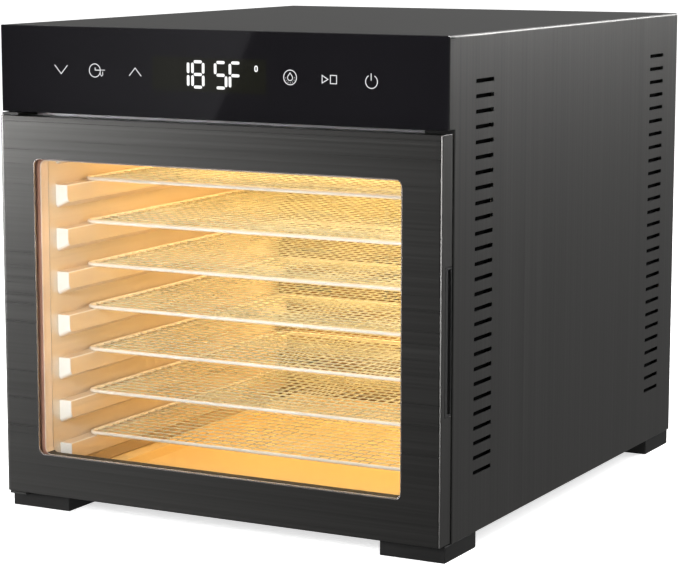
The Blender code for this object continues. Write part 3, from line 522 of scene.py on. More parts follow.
class DEHYDRATOR_OT_shell(bpy.types.Operator):
    """Fold the louvred outer sheet: both sides and the top in one piece"""

    bl_idname = "dehydrator.shell"
    bl_label = "Outer shell"

    def execute(self, context):
        side_low, side_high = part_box("right_side_panel")
        glass_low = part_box("control_panel_glass")[0]
        frame_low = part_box("front_frame")[0]
        half = side_high.x
        bottom, top = side_low.z, side_high.z
        radius = sizes().fold_radius
        fold = radius * math.pi / 2
        rise = top - radius - bottom
        width = 2 * (half - radius)
        slots = slot_rows(bottom)
        step = glass_low.z - bottom
        lines = {0.0, rise - FOLD_MARGIN, rise + fold + FOLD_MARGIN, step}
        lines |= {rise + fold * turn / FOLD_STEPS for turn in range(FOLD_STEPS + 1)}
        for low, high in slots:
            lines |= {low, high}
        mirror = 2 * rise + 2 * fold + width
        lines |= {mirror - value for value in lines}
        along = sorted(lines)
        columns = slot_columns()
        deep = sorted({side_low.y, frame_low.y, side_high.y} | {v for pair in columns for v in pair})

        def is_open(along_at, deep_at):
            climbed = min(along_at, mirror - along_at)
            if deep_at < frame_low.y and climbed < step:
                return True
            in_row = any(low < climbed < high for low, high in slots)
            return in_row and any(low < deep_at < high for low, high in columns)

        bm = bmesh.new()
        line_grid(bm, along, deep, is_open)
        round_slot_corners(bm, columns)
        for vert in bm.verts:
            x, z = folded(vert.co.x, rise, fold, width, half, bottom, radius)
            vert.co = Vector((x, vert.co.y, z))
        bmesh.ops.recalc_face_normals(bm, faces=bm.faces)
        bmesh.ops.solidify(bm, geom=bm.faces, thickness=sizes().sheet)
        bmesh.ops.recalc_face_normals(bm, faces=bm.faces)
        front = [e for e in bm.edges
                 if all(v.co.y < frame_low.y + NEAR and abs(v.co.x) > half - NEAR for v in e.verts)]
        round_edges(bm, front, FRONT_EDGE, 2, clamp=False)
        piece("outer_shell", bm, ROOT, "steel_upright", SHELL_SMOOTH,
              ("left_side_panel", "right_side_panel", "top_panel"))
        for side in (-1.0, 1.0):
            for low_y, high_y in columns:
                self.shade_plate(side, low_y, high_y, bottom)
        return {"FINISHED"}

    def shade_plate(self, side, low_y, high_y, bottom):
        """A near-black plate close behind a column of louvres: painted shade, so that the slots read black.
        """
        label = ("left" if side < 0 else "right") + ("_front" if low_y < 0 else "_rear")
        rows = slot_rows(bottom)
        x = sorted((side * SHADE_PLATE_NEAR, side * SHADE_PLATE_FAR))
        bm = bmesh.new()
        rounded_box(bm, (x[0], low_y - SHADE_PLATE_MARGIN, bottom + rows[-1][0] - SHADE_PLATE_MARGIN),
                    (x[1], high_y + SHADE_PLATE_MARGIN, bottom + rows[0][1] + SHADE_PLATE_MARGIN), 0.2 * MM)
        piece(f"vent_duct_{label}", bm, ROOT, "louvre_shade")


def slot_rows(bottom):
    """Low and high edge of each louvre, measured up the side from its bottom edge."""
    half = sizes().slot_height / 2
    middles = [TOP_SLOT - index * sizes().slot_pitch - bottom for index in range(sizes().slot_count)]
    return [(middle - half, middle + half) for middle in middles]


def slot_columns():
    """Front and rear end of the louvres in each column."""
    half = sizes().slot_length / 2
    return [(middle - half, middle + half) for middle in COLUMN_MIDDLES]


def round_slot_corners(bm, columns):
    """Round the four corners of every punched slot."""
    ends = {round(value, 6) for pair in columns for value in pair}
    corners = [v for v in bm.verts if round(v.co.y, 6) in ends and len(v.link_faces) == 3]
    bmesh.ops.bevel(bm, geom=corners, offset=SLOT_CORNER, segments=2, profile=0.5,
                    affect="VERTICES", material=-1)


def folded(along, rise, fold, width, half, bottom, radius):
    """Place of a point of the flat sheet after folding it up, over and down: x and z."""
    total = 2 * rise + 2 * fold + width
    side = -1.0 if along < total / 2 else 1.0
    climbed = min(along, total - along)
    if climbed <= rise:
        return side * half, bottom + climbed
    if climbed <= rise + fold:
        angle = (climbed - rise) / radius
        return side * (half - radius + radius * math.cos(angle)), bottom + rise + radius * math.sin(angle)
    return side * (half - radius - (climbed - rise - fold)), bottom + rise + radius


# ---------------------------------------------------------------- control panel

PRINT = 0.06 * MM
PRINT_GAP = 0.02 * MM
LINE = 0.55 * MM
KEY_SMALL = 2.8


def stroke(bm, points, width=LINE, closed=False):
    """A line of even width in the XZ plane, at Y = 0, as thick as PRINT."""
    verts = [bm.verts.new((x, 0.0, z)) for x, z in points]
    pairs = list(zip(verts, verts[1:])) + ([(verts[-1], verts[0])] if closed else [])
    edges = [bm.edges.new(pair) for pair in pairs]
    swept = bmesh.ops.extrude_edge_only(bm, edges=edges)["geom"]
    bmesh.ops.translate(bm, vec=(0, PRINT, 0), verts=only(bmesh.types.BMVert, swept))
    faces = only(bmesh.types.BMFace, swept)
    bmesh.ops.recalc_face_normals(bm, faces=faces)
    bmesh.ops.solidify(bm, geom=faces, thickness=width)


def arc(cx, cz, radius, start, end, steps):
    """Points on an arc, angles in degrees."""
    turns = [math.radians(start + (end - start) * step / steps) for step in range(steps + 1)]
    return [(cx + radius * math.cos(turn), cz + radius * math.sin(turn)) for turn in turns]


def around(cx, cz, *points):
    """Points given in millimetres from a centre."""
    return [(cx + x * MM, cz + z * MM) for x, z in points]


def circle(bm, cx, cz, radius, steps=40):
    stroke(bm, arc(cx, cz, radius, 0, 360 - 360 / steps, steps - 1), closed=True)


def chevron(bm, cx, cz, way):
    """An open arrow head that points up or down."""
    foot = -way * KEY_SMALL
    stroke(bm, around(cx, cz, (-5.0, foot), (0, way * KEY_SMALL), (5.0, foot)))


def lower_key(bm, cx, cz):
    chevron(bm, cx, cz, -1)


def raise_key(bm, cx, cz):
    chevron(bm, cx, cz, 1)


def clock_key(bm, cx, cz):
    """A clock face with a small thermometer hooked to its right."""
    circle(bm, cx, cz, 4.7 * MM)
    stroke(bm, around(cx, cz, (0, 2.0), (0, 0), (4.0, 0)))
    hook = around(cx, cz, (4.0, -1.0), (4.2, -2.6), (5.3, -4.0), (6.6, -2.8), (6.4, -0.6))
    stroke(bm, hook, LINE * 0.8)
    stroke(bm, around(cx, cz, (5.0, 0.2), (8.2, 0.2)), LINE * 0.8)


def drop_key(bm, cx, cz):
    """A drop inside a ring, with a fan of small rays round its lower half."""
    circle(bm, cx, cz, 5.0 * MM)
    low = arc(cx, cz - 0.2 * MM, 2.1 * MM, 150, 390, 16)
    stroke(bm, low + around(cx, cz, (0, 3.3)), LINE * 0.9, True)
    for angle in range(180, 361, 30):
        turn = math.radians(angle)
        ends = [(reach * math.cos(turn), reach * math.sin(turn) - 0.2) for reach in (3.0, 3.6)]
        stroke(bm, around(cx, cz, *ends), LINE * 0.6)


def play_stop_key(bm, cx, cz):
    """A triangle beside a square."""
    stroke(bm, around(cx, cz, (-5.8, -2.9), (-5.8, 2.9), (-0.7, 0)), closed=True)
    stroke(bm, around(cx, cz, (0.2, -2.9), (5.2, -2.9), (5.2, 2.9), (0.2, 2.9)), closed=True)


def power_key(bm, cx, cz):
    """An open ring with a bar in its gap."""
    stroke(bm, arc(cx, cz - 0.5 * MM, 4.5 * MM, 120, 420, 36))
    stroke(bm, around(cx, cz, (0, 0.2), (0, 4.8)))


SEGMENTS = {"1": "bc", "5": "acdfg", "8": "abcdefg", "F": "aefg"}
DIGIT_WIDE = 8.2 * MM
DIGIT_TALL = 16.6 * MM
DIGIT_BAR = 2.0 * MM


def lozenge(bm, cx, cz, length, width, upright):
    """One lit segment: a bar with rounded ends."""
    points = arc(length / 2 - width / 2, 0.0, width / 2, -90, 90, 6)
    points += arc(-length / 2 + width / 2, 0.0, width / 2, 90, 270, 6)
    if upright:
        points = [(-z, x) for x, z in points]
    verts = [bm.verts.new((cx + x, 0.0, cz + z)) for x, z in points]
    swept = bmesh.ops.extrude_face_region(bm, geom=[bm.faces.new(verts)])["geom"]
    bmesh.ops.translate(bm, vec=(0, PRINT, 0), verts=only(bmesh.types.BMVert, swept))


def digit(bm, cx, cz, letter):
    """A seven-segment figure; its width and height are measured between the bars' middles."""
    right, top = DIGIT_WIDE / 2, DIGIT_TALL / 2
    places = {
        "a": (0, top, False), "g": (0, 0, False), "d": (0, -top, False),
        "b": (right, top / 2, True), "c": (right, -top / 2, True),
        "f": (-right, top / 2, True), "e": (-right, -top / 2, True),
    }
    for key in SEGMENTS[letter]:
        dx, dz, upright = places[key]
        length = top - 1.2 * MM if upright else DIGIT_WIDE - 1.9 * MM
        lozenge(bm, cx + dx, cz + dz, length, DIGIT_BAR, upright)


def on_panel(bm, front):
    """Bring symbols drawn at Y = 0 to the front of the panel glass."""
    bmesh.ops.recalc_face_normals(bm, faces=bm.faces)
    bmesh.ops.translate(bm, vec=(0, front - PRINT - PRINT_GAP, 0), verts=bm.verts)


WINDOW_PROUD = 0.05 * MM
WINDOW_BACK = 0.3 * MM
KEY_DROP = 29.6
DIGIT_DROP = 29.4
DEGREE_PLACE = 202.4 * MM
KEYS = (
    (lower_key, 49.6, 0.6), (clock_key, 77.0, 0.4), (raise_key, 109.2, 0.6),
    (drop_key, 227.6, 0.4), (play_stop_key, 256.6, 0.0), (power_key, 286.6, 0.0),
)
READING = (("1", 146.6), ("8", 158.2), ("5", 175.6), ("F", 186.8))


class DEHYDRATOR_OT_panel(bpy.types.Operator):
    """Print the touch keys and light the display of the control panel"""

    bl_idname = "dehydrator.panel"
    bl_label = "Control panel"

    def execute(self, context):
        low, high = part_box("control_panel_glass")
        self.symbols(low, high)
        self.reading(low, high)
        window_low, window_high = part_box("display_module")
        bm = bmesh.new()
        rounded_box(bm, (window_low.x, low.y - WINDOW_PROUD, window_low.z),
                    (window_high.x, low.y + WINDOW_BACK, window_high.z), 0.04 * MM)
        piece("display_window", bm, ROOT, "display", FLAT)
        dress("panel_glass", "control_panel_glass")
        dress("black_plastic", "control_housing", "display_module")
        dress("board", "touch_board")
        return {"FINISHED"}

    def symbols(self, low, high):
        """The touch keys: each one's place is measured from the left end of the glass."""
        bm = bmesh.new()
        for draw, place, lift in KEYS:
            draw(bm, low.x + place * MM, high.z - (KEY_DROP - lift) * MM)
        on_panel(bm, low.y)
        piece("panel_key_symbols", bm, ROOT, "print")

    def reading(self, low, high):
        """The lit figures and the degree sign, just in front of the display window."""
        bm = bmesh.new()
        for letter, place in READING:
            digit(bm, low.x + place * MM, high.z - DIGIT_DROP * MM, letter)
        degree = arc(low.x + DEGREE_PLACE, high.z - 23.6 * MM, 1.3 * MM, 0, 180, 10)
        degree += arc(low.x + DEGREE_PLACE, high.z - 25.2 * MM, 1.3 * MM, 180, 360, 10)
        stroke(bm, degree, 0.8 * MM, True)
        on_panel(bm, low.y - 0.06 * MM)
        piece("display_digits", bm, ROOT, "digits")


# ---------------------------------------------------------------- door

def rounded_loop(bm, half, low_z, high_z, radius, y, steps=6):
    """A closed loop of edges round a rectangle with round corners, standing across Y."""
    side, low, high = half - radius, low_z + radius, high_z - radius
    points = []
    for cx, cz, start in ((side, high, 0), (-side, high, 90), (-side, low, 180), (side, low, 270)):
        points += arc(cx, cz, radius, start, start + 90, steps)
    verts = [bm.verts.new((x, y, z)) for x, z in points]
    return [bm.edges.new((a, b)) for a, b in zip(verts, verts[1:] + verts[:1])]


def band(bm, half, low_z, high_z, radius, front, back, thick):
    """A flat ring of even width round a window, from front to back along Y."""
    edges = rounded_loop(bm, half, low_z, high_z, radius, front)
    swept = bmesh.ops.extrude_edge_only(bm, edges=edges)["geom"]
    bmesh.ops.translate(bm, vec=(0, back - front, 0), verts=only(bmesh.types.BMVert, swept))
    faces = only(bmesh.types.BMFace, swept)
    bmesh.ops.recalc_face_normals(bm, faces=faces)
    bmesh.ops.solidify(bm, geom=faces, thickness=thick)
    bmesh.ops.recalc_face_normals(bm, faces=bm.faces)


WINDOW_HALF = 141.3 * MM
WINDOW_LOW = 40.5 * MM
WINDOW_HIGH = 247.8 * MM
WINDOW_RADIUS = 5.0 * MM
FRAME_HALF = 140.1 * MM
FRAME_LOW = 41.7 * MM
FRAME_HIGH = 246.6 * MM
FRAME_RADIUS = 4.9 * MM
SILL = 39.4 * MM
TRIM_GAP = 0.05 * MM
TRIM_PROUD = 0.12 * MM
TRIM_DEEP = 1.3 * MM
HIGHLIGHT_RING_FRONT = -201.0 * MM
HIGHLIGHT_RING_BACK = -199.8 * MM
REVEAL_FRONT = -199.7 * MM
REVEAL_BACK = -191.7 * MM


class DEHYDRATOR_OT_door(bpy.types.Operator):
    """Make the door: rounded skin, window trim, pane, frame, gasket and finger pull"""

    bl_idname = "dehydrator.door"
    bl_label = "Door"

    def execute(self, context):
        self.skin()
        self.trim()
        # A thin pale ring at the front corner of the opening: painted highlight on the frame's edge.
        bm = self.lining(0.2 * MM, HIGHLIGHT_RING_FRONT, HIGHLIGHT_RING_BACK, 0.5 * MM)
        round_corners(bm, 0.15 * MM, 2, 60.0)
        highlight_ring = piece("pane_highlight_ring", bm, DOOR, "highlight_ring", 50.0)
        # The reveal's peach colour is painted warm light on the frame's side wall.
        bm = self.lining(0.1 * MM, REVEAL_FRONT, REVEAL_BACK, 0.15 * MM)
        reveal = piece("window_reveal", bm, DOOR, "reveal", 50.0)
        for ring in (highlight_ring, reveal):
            add_finish(ring, "gasket", lambda normal: normal.z > 0.7)
        self.inner_frame()
        dress("clear_glass", "door_glass")
        dress("gasket", "door_gasket")
        dress("pull", "handle_insert")
        dress("zinc", "door_strike", "hinge_pin_upper", "hinge_pin_lower")
        return {"FINISHED"}

    def trim(self):
        """The thin bright ring round the window, just proud of the skin."""
        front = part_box("door_skin")[0].y
        bm = bmesh.new()
        band(bm, WINDOW_HALF - TRIM_GAP, WINDOW_LOW + TRIM_GAP, WINDOW_HIGH - TRIM_GAP, WINDOW_RADIUS,
             front - TRIM_PROUD, front + TRIM_DEEP, 0.6 * MM)
        round_corners(bm, 0.15 * MM, 2, 60.0)
        piece("window_trim", bm, DOOR, "trim", 50.0)

    def lining(self, gap, front, back, thick):
        """A ring that lines the opening of the inner frame, a gap inside it."""
        bm = bmesh.new()
        band(bm, FRAME_HALF - gap, SILL + gap, FRAME_HIGH - gap, FRAME_RADIUS, front, back, thick)
        return bm

    def inner_frame(self):
        """The frame behind the pane; its sill lies just under the edge of the window."""
        bm = merged_copy("door_inner_frame")
        sill = [v for v in bm.verts if abs(v.co.x) < FRAME_HALF + 0.2 * MM
                and -0.2 * MM < v.co.z - FRAME_LOW < WINDOW_RADIUS + 0.2 * MM]
        bmesh.ops.translate(bm, vec=(0, 0, SILL - FRAME_LOW), verts=sill)
        clear_flats(bm)
        round_corners(bm, 0.25 * MM, 2, 70.0)
        ring = piece("pane_frame", bm, DOOR, "frame_plastic", FLAT, ("door_inner_frame",))
        add_finish(ring, "black_plastic", lambda normal: normal.y > 0.5 or normal.z > 0.7)

    def skin(self):
        """The folded face, with small rounding on its cut edges."""
        bm = merged_copy("door_skin")
        clear_flats(bm)
        round_corners(bm, 0.4 * MM, 2, 70.0)
        face = piece("door_face", bm, DOOR, "steel_across", FLAT, ("door_skin",))
        add_finish(face, "steel_upright", lambda normal: abs(normal.x) > 0.3)


# ---------------------------------------------------------------- cabinet structure

class DEHYDRATOR_OT_structure(bpy.types.Operator):
    """Finish the front frame, base, hinge plates, magnet and feet"""

    bl_idname = "dehydrator.structure"
    bl_label = "Frame and feet"

    def execute(self, context):
        dress("black_plastic", "front_frame", "hinge_plate_upper", "hinge_plate_lower")
        dress("zinc", "base_plate", "door_magnet", "fan_plate")
        for node in ("foot_front_left", "foot_front_right", "foot_rear_left", "foot_rear_right"):
            softened(node + "_block", node, ROOT, "feet", 0.6 * MM)
        return {"FINISHED"}


class DEHYDRATOR_OT_back(bpy.types.Operator):
    """Finish the back panel with its screws and cord gland"""

    bl_idname = "dehydrator.back"
    bl_label = "Back"

    def execute(self, context):
        softened("back_plate", "back_panel", ROOT, "steel_plain", 0.15 * MM, 1)
        dress("rubber", "cord_gland")
        for index in range(1, 5):
            self.screw(index)
        return {"FINISHED"}

    def screw(self, index):
        """A pan head with a cross recess."""
        node = f"back_screw_{index}"
        low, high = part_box(node)
        centre = (low + high) / 2
        radius = (high.x - low.x) / 2
        depth = high.y - low.y
        bm = bmesh.new()
        head = add_disc(bm, centre, radius, depth)
        rear = [e for e in edges_of(head) if min(v.co.y for v in e.verts) > high.y - NEAR]
        round_edges(bm, rear, depth * 0.8, 5)
        bmesh.ops.recalc_face_normals(bm, faces=bm.faces)
        piece(f"back_screw_head_{index}", bm, ROOT, "zinc", stands_for=(node,))
        bm = bmesh.new()
        arm, thin = radius * 0.5, radius * 0.12
        for half_x, half_z, proud in ((arm, thin, 0.02 * MM), (thin, arm, 0.03 * MM)):
            add_box(bm, (centre.x - half_x, high.y - 0.1 * MM, centre.z - half_z),
                    (centre.x + half_x, high.y + proud, centre.z + half_z))
        piece(f"back_screw_recess_{index}", bm, ROOT, "rubber")


# ---------------------------------------------------------------- chamber

WALL_FACE = 141.2 * MM
WALL_SHEET = 0.8 * MM
LEDGES = 8
LEDGE_DEPTH = 9.6 * MM
LEDGE_TALL = 16.7 * MM
LEDGE_SLOPE = 4.7 * MM
LEDGE_PITCH = 30.5 * MM
LEDGE_TOP = 257.65 * MM
LEDGE_FRONT = -180.5 * MM
LEDGE_BACK = 129.0 * MM


class DEHYDRATOR_OT_chamber(bpy.types.Operator):
    """Form the chamber walls with their pressed ledges and line the chamber"""

    bl_idname = "dehydrator.chamber"
    bl_label = "Chamber"

    def execute(self, context):
        self.wall("left", -1.0)
        self.wall("right", 1.0)
        dress("liner", "chamber_ceiling")
        # The floor's and the drip pan's golden tint is painted warm light.
        dress("tray", "chamber_floor")
        # The baffle's dark colour is painted shade.
        dress("baffle", "rear_baffle")
        dress("flange", "mouth_flange")
        dress("lamp", "lamp_bulb")
        dress("zinc", "lamp_holder")
        dress("clear_glass", "lamp_lens")
        softened("drip_pan", "drip_tray", "drip_tray", "tray", 0.35 * MM)
        return {"FINISHED"}

    def wall(self, label, side):
        """Flat sheet with ledges whose underside and lower front edge slope back to it."""
        node = f"chamber_{label}_wall"
        low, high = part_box(node)
        face = side * WALL_FACE
        inner = face - side * LEDGE_DEPTH
        outer = face + side * WALL_SHEET
        bm = bmesh.new()
        add_box(bm, (min(face, outer), low.y, low.z), (max(face, outer), high.y, high.z))
        for index in range(LEDGES):
            top = LEDGE_TOP - index * LEDGE_PITCH
            made = add_box(bm, (min(face, inner), LEDGE_FRONT, top - LEDGE_TALL),
                           (max(face, inner), LEDGE_BACK, top))
            self.shape_ledge(bm, made, inner, top)
        wall = piece(f"chamber_wall_{label}", bm, ROOT, "liner", 30.0, (node,))
        # Painted highlight: faces turned to the front, and slanted faces turned up and inward, take the
        # near-white finish.
        add_finish(wall, "ledge_painted_highlight",
                   lambda normal: normal.y < -0.55 or (normal.z > 0.3 and abs(normal.x) > 0.3))

    def shape_ledge(self, bm, made, inner, top):
        """Raise the lower inner edge, and round the lower front edge and the inner ones."""
        front_low = []
        for vert in made:
            is_inner = abs(vert.co.x - inner) < 0.1 * MM
            is_low = vert.co.z < top - LEDGE_TALL / 2
            if is_inner and is_low:
                vert.co.z += LEDGE_SLOPE
            if is_low and vert.co.y < 0:
                front_low.append(vert)
        wrap = [e for e in edges_of(made) if all(v in front_low for v in e.verts)]
        rounded = [e for e in edges_of(made)
                   if e not in wrap and any(abs(v.co.x - inner) < 0.1 * MM for v in e.verts)]
        round_edges(bm, wrap, 3.6 * MM, 3)
        round_edges(bm, [e for e in rounded if e.is_valid], 0.6 * MM)


# ---------------------------------------------------------------- racks

class DEHYDRATOR_OT_racks(bpy.types.Operator):
    """Weld the wire racks: a bent rim and a mesh of crossing wires"""

    bl_idname = "dehydrator.racks"
    bl_label = "Racks"

    def execute(self, context):
        for node in RACKS:
            self.rack(node)
        return {"FINISHED"}

    def rack(self, node):
        low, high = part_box(node)
        rim = sizes().rim_wire / 2
        z = (low.z + high.z) / 2
        bm = bmesh.new()
        inset = Vector((rim + 0.02 * MM, rim + 0.02 * MM, 0.0))
        low, high = low + inset, high - inset
        rim_loop(bm, low, high, z, sizes().rack_corner, rim)
        # Rim faces take the whiter rim finish, a painted highlight.
        for face in bm.faces:
            face.material_index = 1
        self.wires(bm, low, high, z)
        bmesh.ops.recalc_face_normals(bm, faces=bm.faces)
        rack = piece(node + "_wire", bm, node, "wire", 60.0, (node,))
        rack.data.materials.append(MATERIALS["rim"])

    def wires(self, bm, low, high, z):
        """Wires across lie on top of the wires that run front to back."""
        thin = sizes().mesh_wire / 2
        over, under = z + thin * 0.95, z - thin * 0.95
        for x in evenly(low.x, high.x, sizes().mesh_pitch_x):
            trim = self.corner_trim(x, low.x, high.x)
            add_rod(bm, (x, low.y + trim, under), (x, high.y - trim, under), thin, 6)
        for y in evenly(low.y, high.y, sizes().mesh_pitch_y):
            trim = self.corner_trim(y, low.y, high.y)
            add_rod(bm, (low.x + trim, y, over), (high.x - trim, y, over), thin, 6)

    def corner_trim(self, at, low, high):
        """How much shorter a wire is where the rim's round corner cuts in."""
        corner = sizes().rack_corner
        reach = corner - min(at - low, high - at)
        return corner - math.sqrt(corner ** 2 - reach ** 2) if reach > 0 else 0.0


def evenly(low, high, pitch):
    """Values between low and high, without the ends, about one pitch apart."""
    count = round((high - low) / pitch)
    return [low + (high - low) * index / count for index in range(1, count)]


def rim_loop(bm, low, high, z, corner, radius, sides=10, steps=6):
    """A round wire bent into a rectangle with round corners, along the wire's middle line."""
    near = (low.x + corner, low.y + corner)
    far = (high.x - corner, high.y - corner)
    place = Matrix.Translation((near[0], low.y, z)) @ Matrix.Rotation(math.pi / 2, 4, "Y")
    ring = bmesh.ops.create_circle(bm, cap_ends=False, segments=sides, radius=radius, matrix=place)["verts"]
    loop = edges_of(ring)
    run_x, run_y = far[0] - near[0], far[1] - near[1]
    bends = [((run_x, 0, 0), (far[0], near[1], z)), ((0, run_y, 0), (*far, z)),
             ((-run_x, 0, 0), (near[0], far[1], z)), ((0, -run_y, 0), (*near, z))]
    for run, pivot in bends:
        swept = bmesh.ops.extrude_edge_only(bm, edges=loop)["geom"]
        moved = only(bmesh.types.BMVert, swept)
        bmesh.ops.translate(bm, vec=run, verts=moved)
        loop = [e for e in only(bmesh.types.BMEdge, swept) if all(v in moved for v in e.verts)]
        turned = bmesh.ops.spin(bm, geom=loop, cent=pivot, axis=(0, 0, 1), angle=math.pi / 2,
                                steps=steps, use_merge=False)["geom_last"]
        loop = only(bmesh.types.BMEdge, turned)
    bmesh.ops.remove_doubles(bm, verts=bm.verts, dist=0.01 * MM)


# ---------------------------------------------------------------- airflow and electrics

class DEHYDRATOR_OT_inside(bpy.types.Operator):
    """Finish the fan, heater, motor, boards and wiring"""

    bl_idname = "dehydrator.inside"
    bl_label = "Fan, heater and boards"

    def execute(self, context):
        dress("heater", "heater_ring")
        dress("zinc", "heater_clip_left", "heater_clip_right", "fan_shaft", "temperature_probe")
        dress("motor", "fan_motor", "thermal_fuse")
        dress("board", "power_board")
        dress("rubber", "wiring_harness")
        softened("fan_wheel", "fan_blades", FAN, "zinc", 0.3 * MM)
        return {"FINISHED"}


# ---------------------------------------------------------------- stage

CAMERA_PLACE = (0.8077, -1.5368, 0.4097)
CAMERA_TURN = 28.136
CAMERA_PITCH = 8.81
LENS = 126.0
WHITE = (1.0, 1.0, 1.0)
SKY_LEVELS = ((0.40, 0.06), (0.50, 0.075), (0.62, 0.12), (0.80, 0.52))
LOW_GLOWS = ((-0.1, 0.4, 0.14), (-0.44, -0.62, 0.27))
CARD_CORNERS = ((-1.05, -1.2, 0.172), (-0.608, -1.2, 0.172), (-0.493, -1.2, 0.40), (-1.05, -1.2, 0.40))


def grey(level):
    return (level, level, level, 1.0)


def hide_from(obj, *rays):
    """Make an object invisible to the named kinds of rays."""
    for ray in rays:
        setattr(obj, f"visible_{ray}", False)


class DEHYDRATOR_OT_stage(bpy.types.Operator):
    """Set the pale floor, the soft lights and the camera"""

    bl_idname = "dehydrator.stage"
    bl_label = "Stage"

    def execute(self, context):
        self.floor()
        self.backdrop()
        self.world()
        self.lights()
        self.card()
        self.camera()
        context.scene.view_settings.view_transform = "Standard"
        return {"FINISHED"}

    def floor(self):
        """A pale floor that lights itself a little, so that shadows stay faint."""
        material, tree, shader = start_material("studio_floor_white")
        shade = blend_colours(tree, noise(tree, 3.0, 2.0, 0.5), scaled(WHITE, 0.91), scaled(WHITE, 0.92))
        tree.links.new(shade, shader.inputs["Base Color"])
        tree.links.new(shade, shader.inputs["Emission Color"])
        shader.inputs["Emission Strength"].default_value = 0.72
        shader.inputs["Roughness"].default_value = 0.9
        shader.inputs["Specular IOR Level"].default_value = 0.1
        bm = bmesh.new()
        bmesh.ops.create_grid(bm, x_segments=4, y_segments=4, size=30.0)
        floor = mesh_object("studio_floor", bm, material)
        hide_from(floor, "glossy")

    def backdrop(self):
        """A wide white screen all round, seen only by the camera."""
        material, tree, shader = start_material("studio_backdrop_white")
        shade = blend_colours(tree, noise(tree, 0.3, 2.0, 0.5), scaled(WHITE, 0.99), WHITE)
        tree.links.new(shade, shader.inputs["Emission Color"])
        shader.inputs["Base Color"].default_value = grey(0.0)
        shader.inputs["Emission Strength"].default_value = 1.0
        bm = bmesh.new()
        bmesh.ops.create_cone(bm, cap_ends=False, segments=96, radius1=28.0, radius2=28.0, depth=30.0,
                              matrix=Matrix.Translation((0.0, 0.0, 14.5)))
        screen = mesh_object("studio_backdrop", bm, material)
        hide_from(screen, "diffuse", "glossy", "transmission", "volume_scatter", "shadow")

    def world(self):
        """Bright from above, dim at the horizon, with a low glow on two sides."""
        world = bpy.data.worlds.new("soft_studio")
        bpy.context.scene.world = world
        world.use_nodes = True
        tree = world.node_tree
        background = tree.nodes["Background"]
        coords = tree.nodes.new("ShaderNodeTexCoord")
        split = tree.nodes.new("ShaderNodeSeparateXYZ")
        ramp = tree.nodes.new("ShaderNodeValToRGB")
        lift = tree.nodes.new("ShaderNodeMapRange")
        lift.inputs["From Min"].default_value = -1.0
        lift.inputs["From Max"].default_value = 1.0
        tree.links.new(coords.outputs["Generated"], split.inputs["Vector"])
        tree.links.new(split.outputs["Z"], lift.inputs["Value"])
        tree.links.new(lift.outputs["Result"], ramp.inputs["Fac"])
        level = ramp.outputs["Color"]
        for near, far, most in LOW_GLOWS:
            level = self.low_glow(tree, split, level, near, far, most)
        tree.links.new(level, background.inputs["Color"])
        stops = ramp.color_ramp.elements
        stops[0].color = grey(0.02)
        stops[1].color = grey(1.0)
        for position, brightness in SKY_LEVELS:
            stops.new(position).color = grey(brightness)
        background.inputs["Strength"].default_value = 1.0

    def low_glow(self, tree, split, level, near, far, most):
        """Add a glow below the horizon, on the side where X runs from near to far."""
        across = remap(tree, split.outputs["X"], 0.0, most, near, far)
        down = remap(tree, split.outputs["Z"], 0.0, 1.0, -0.03, -0.18)
        share = tree.nodes.new("ShaderNodeMath")
        share.operation = "MULTIPLY"
        tree.links.new(across, share.inputs[0])
        tree.links.new(down, share.inputs[1])
        add = tree.nodes.new("ShaderNodeMix")
        add.data_type = "RGBA"
        add.blend_type = "ADD"
        tree.links.new(share.outputs["Value"], add.inputs[0])
        tree.links.new(level, add.inputs[6])
        add.inputs[7].default_value = grey(1.0)
        return add.outputs[2]

    def area(self, name, place, target, size, power, tall=None, colour=WHITE, hidden=()):
        """A rectangular light at place that faces target, unseen by the hidden kinds of rays."""
        data = bpy.data.lights.new(name, "AREA")
        data.shape = "RECTANGLE"
        data.size = size
        data.size_y = tall or size
        data.energy = power
        data.color = colour
        lamp = bpy.data.objects.new(name, data)
        lamp.location = place
        lamp.rotation_euler = (Vector(target) - Vector(place)).to_track_quat("-Z", "Y").to_euler()
        hide_from(lamp, "camera", *hidden)
        bpy.context.scene.collection.objects.link(lamp)

    def glow(self, name, place, target, size, power, tall):
        """A warm light inside the chamber that no piece mirrors."""
        self.area(name, place, target, size, power, tall, tuple(colours().glow), ("glossy",))

    def lights(self):
        dull, bright = ("glossy",), ("diffuse",)
        self.area("top_softbox", (0.2, -0.1, 2.2), (0.0, 0.0, 0.1), 2.2, 52.0, hidden=dull)
        self.area("side_softbox", (1.20, 1.85, 0.95), (0.17, 0.05, 0.30), 1.0, 34.0, 0.8)
        self.area("left_softbox", (-1.92, -1.46, 0.55), (-0.1, -0.2, 0.20), 0.8, 54.0, 0.96, hidden=bright)
        self.area("edge_strip", (1.7, -1.0, 0.15), (0.17, -0.2, 0.15), 0.5, 12.0, 0.36, hidden=bright)
        self.area("rear_strip", (0.25, 2.3, 1.55), (0.0, 0.0, 0.33), 1.0, 3.4, 0.16)
        self.area("front_key", (0.30, -1.65, 0.70), (-0.05, -0.15, 0.15), 0.35, 24.0, hidden=dull)
        self.glow("chamber_lamp", (0.0, -0.02, 0.268), (0.0, -0.02, 0.0), 0.20, 0.92, 0.24)
        self.glow("chamber_fill", (0.130, -0.03, 0.13), (-0.14, -0.03, 0.11), 0.24, 0.52, 0.20)
        self.glow("chamber_rear_fill", (0.0, 0.128, 0.09), (0.0, -0.2, 0.05), 0.26, 0.95, 0.14)
        self.glow("tray_fill", (0.0, -0.03, 0.0435), (0.0, -0.03, 0.0), 0.24, 0.17, 0.22)

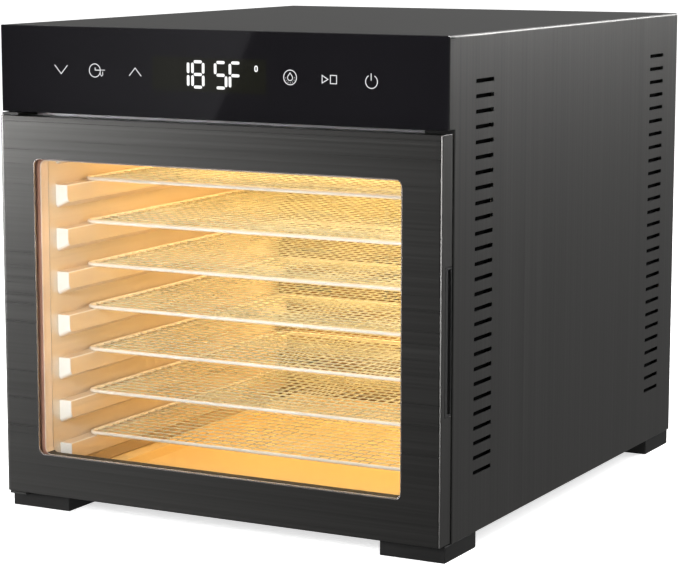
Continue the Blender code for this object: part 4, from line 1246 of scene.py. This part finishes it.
    def card(self):
        """A slanted bright card that only the glossy panel mirrors."""
        material, tree, shader = start_material("mirror_card_light")
        coords = tree.nodes.new("ShaderNodeTexCoord")
        split = tree.nodes.new("ShaderNodeSeparateXYZ")
        tree.links.new(coords.outputs["Object"], split.inputs["Vector"])
        level = remap(tree, split.outputs["X"], 0.03, 0.40, -0.95, -0.58)
        shade = blend_colours(tree, level, scaled(WHITE, 0.0), (1.0, 1.0, 1.03), 0.0, 1.0)
        shader.inputs["Base Color"].default_value = grey(0.0)
        shader.inputs["Specular IOR Level"].default_value = 0.0
        tree.links.new(shade, shader.inputs["Emission Color"])
        shader.inputs["Emission Strength"].default_value = 1.0
        bm = bmesh.new()
        bm.faces.new([bm.verts.new(corner) for corner in CARD_CORNERS])
        card = mesh_object("mirror_card", bm, material)
        hide_from(card, "camera", "diffuse", "transmission", "volume_scatter", "shadow")

    def camera(self):
        data = bpy.data.cameras.new("studio_camera")
        data.sensor_width = 36.0
        data.lens = LENS
        camera = bpy.data.objects.new("studio_camera", data)
        camera.location = CAMERA_PLACE
        camera.rotation_euler = (math.radians(90.0 - CAMERA_PITCH), 0.0, math.radians(CAMERA_TURN))
        bpy.context.scene.collection.objects.link(camera)
        bpy.context.scene.camera = camera


# ---------------------------------------------------------------- add-on

OPERATORS = (
    DEHYDRATOR_OT_shell,
    DEHYDRATOR_OT_panel,
    DEHYDRATOR_OT_door,
    DEHYDRATOR_OT_structure,
    DEHYDRATOR_OT_back,
    DEHYDRATOR_OT_chamber,
    DEHYDRATOR_OT_racks,
    DEHYDRATOR_OT_inside,
    DEHYDRATOR_OT_stage,
)


class DEHYDRATOR_PT_panel(bpy.types.Panel):
    """List the build steps in the sidebar"""

    bl_idname = "DEHYDRATOR_PT_panel"
    bl_label = "Food dehydrator"
    bl_space_type = "VIEW_3D"
    bl_region_type = "UI"
    bl_category = "Dehydrator"

    def draw(self, context):
        for operator in OPERATORS:
            self.layout.operator(operator.bl_idname)


CLASSES = (DehydratorSizes, DehydratorColours, *OPERATORS, DEHYDRATOR_PT_panel)


def register():
    for cls in CLASSES:
        bpy.utils.register_class(cls)
    bpy.types.Scene.dehydrator_sizes = bpy.props.PointerProperty(type=DehydratorSizes)
    bpy.types.Scene.dehydrator_colours = bpy.props.PointerProperty(type=DehydratorColours)


def unregister():
    del bpy.types.Scene.dehydrator_colours
    del bpy.types.Scene.dehydrator_sizes
    for cls in reversed(CLASSES):
        bpy.utils.unregister_class(cls)


def main():
    register()
    make_materials()
    for operator in OPERATORS:
        group, name = operator.bl_idname.split(".")
        getattr(getattr(bpy.ops, group), name)()


if __name__ == "__main__":
    main()
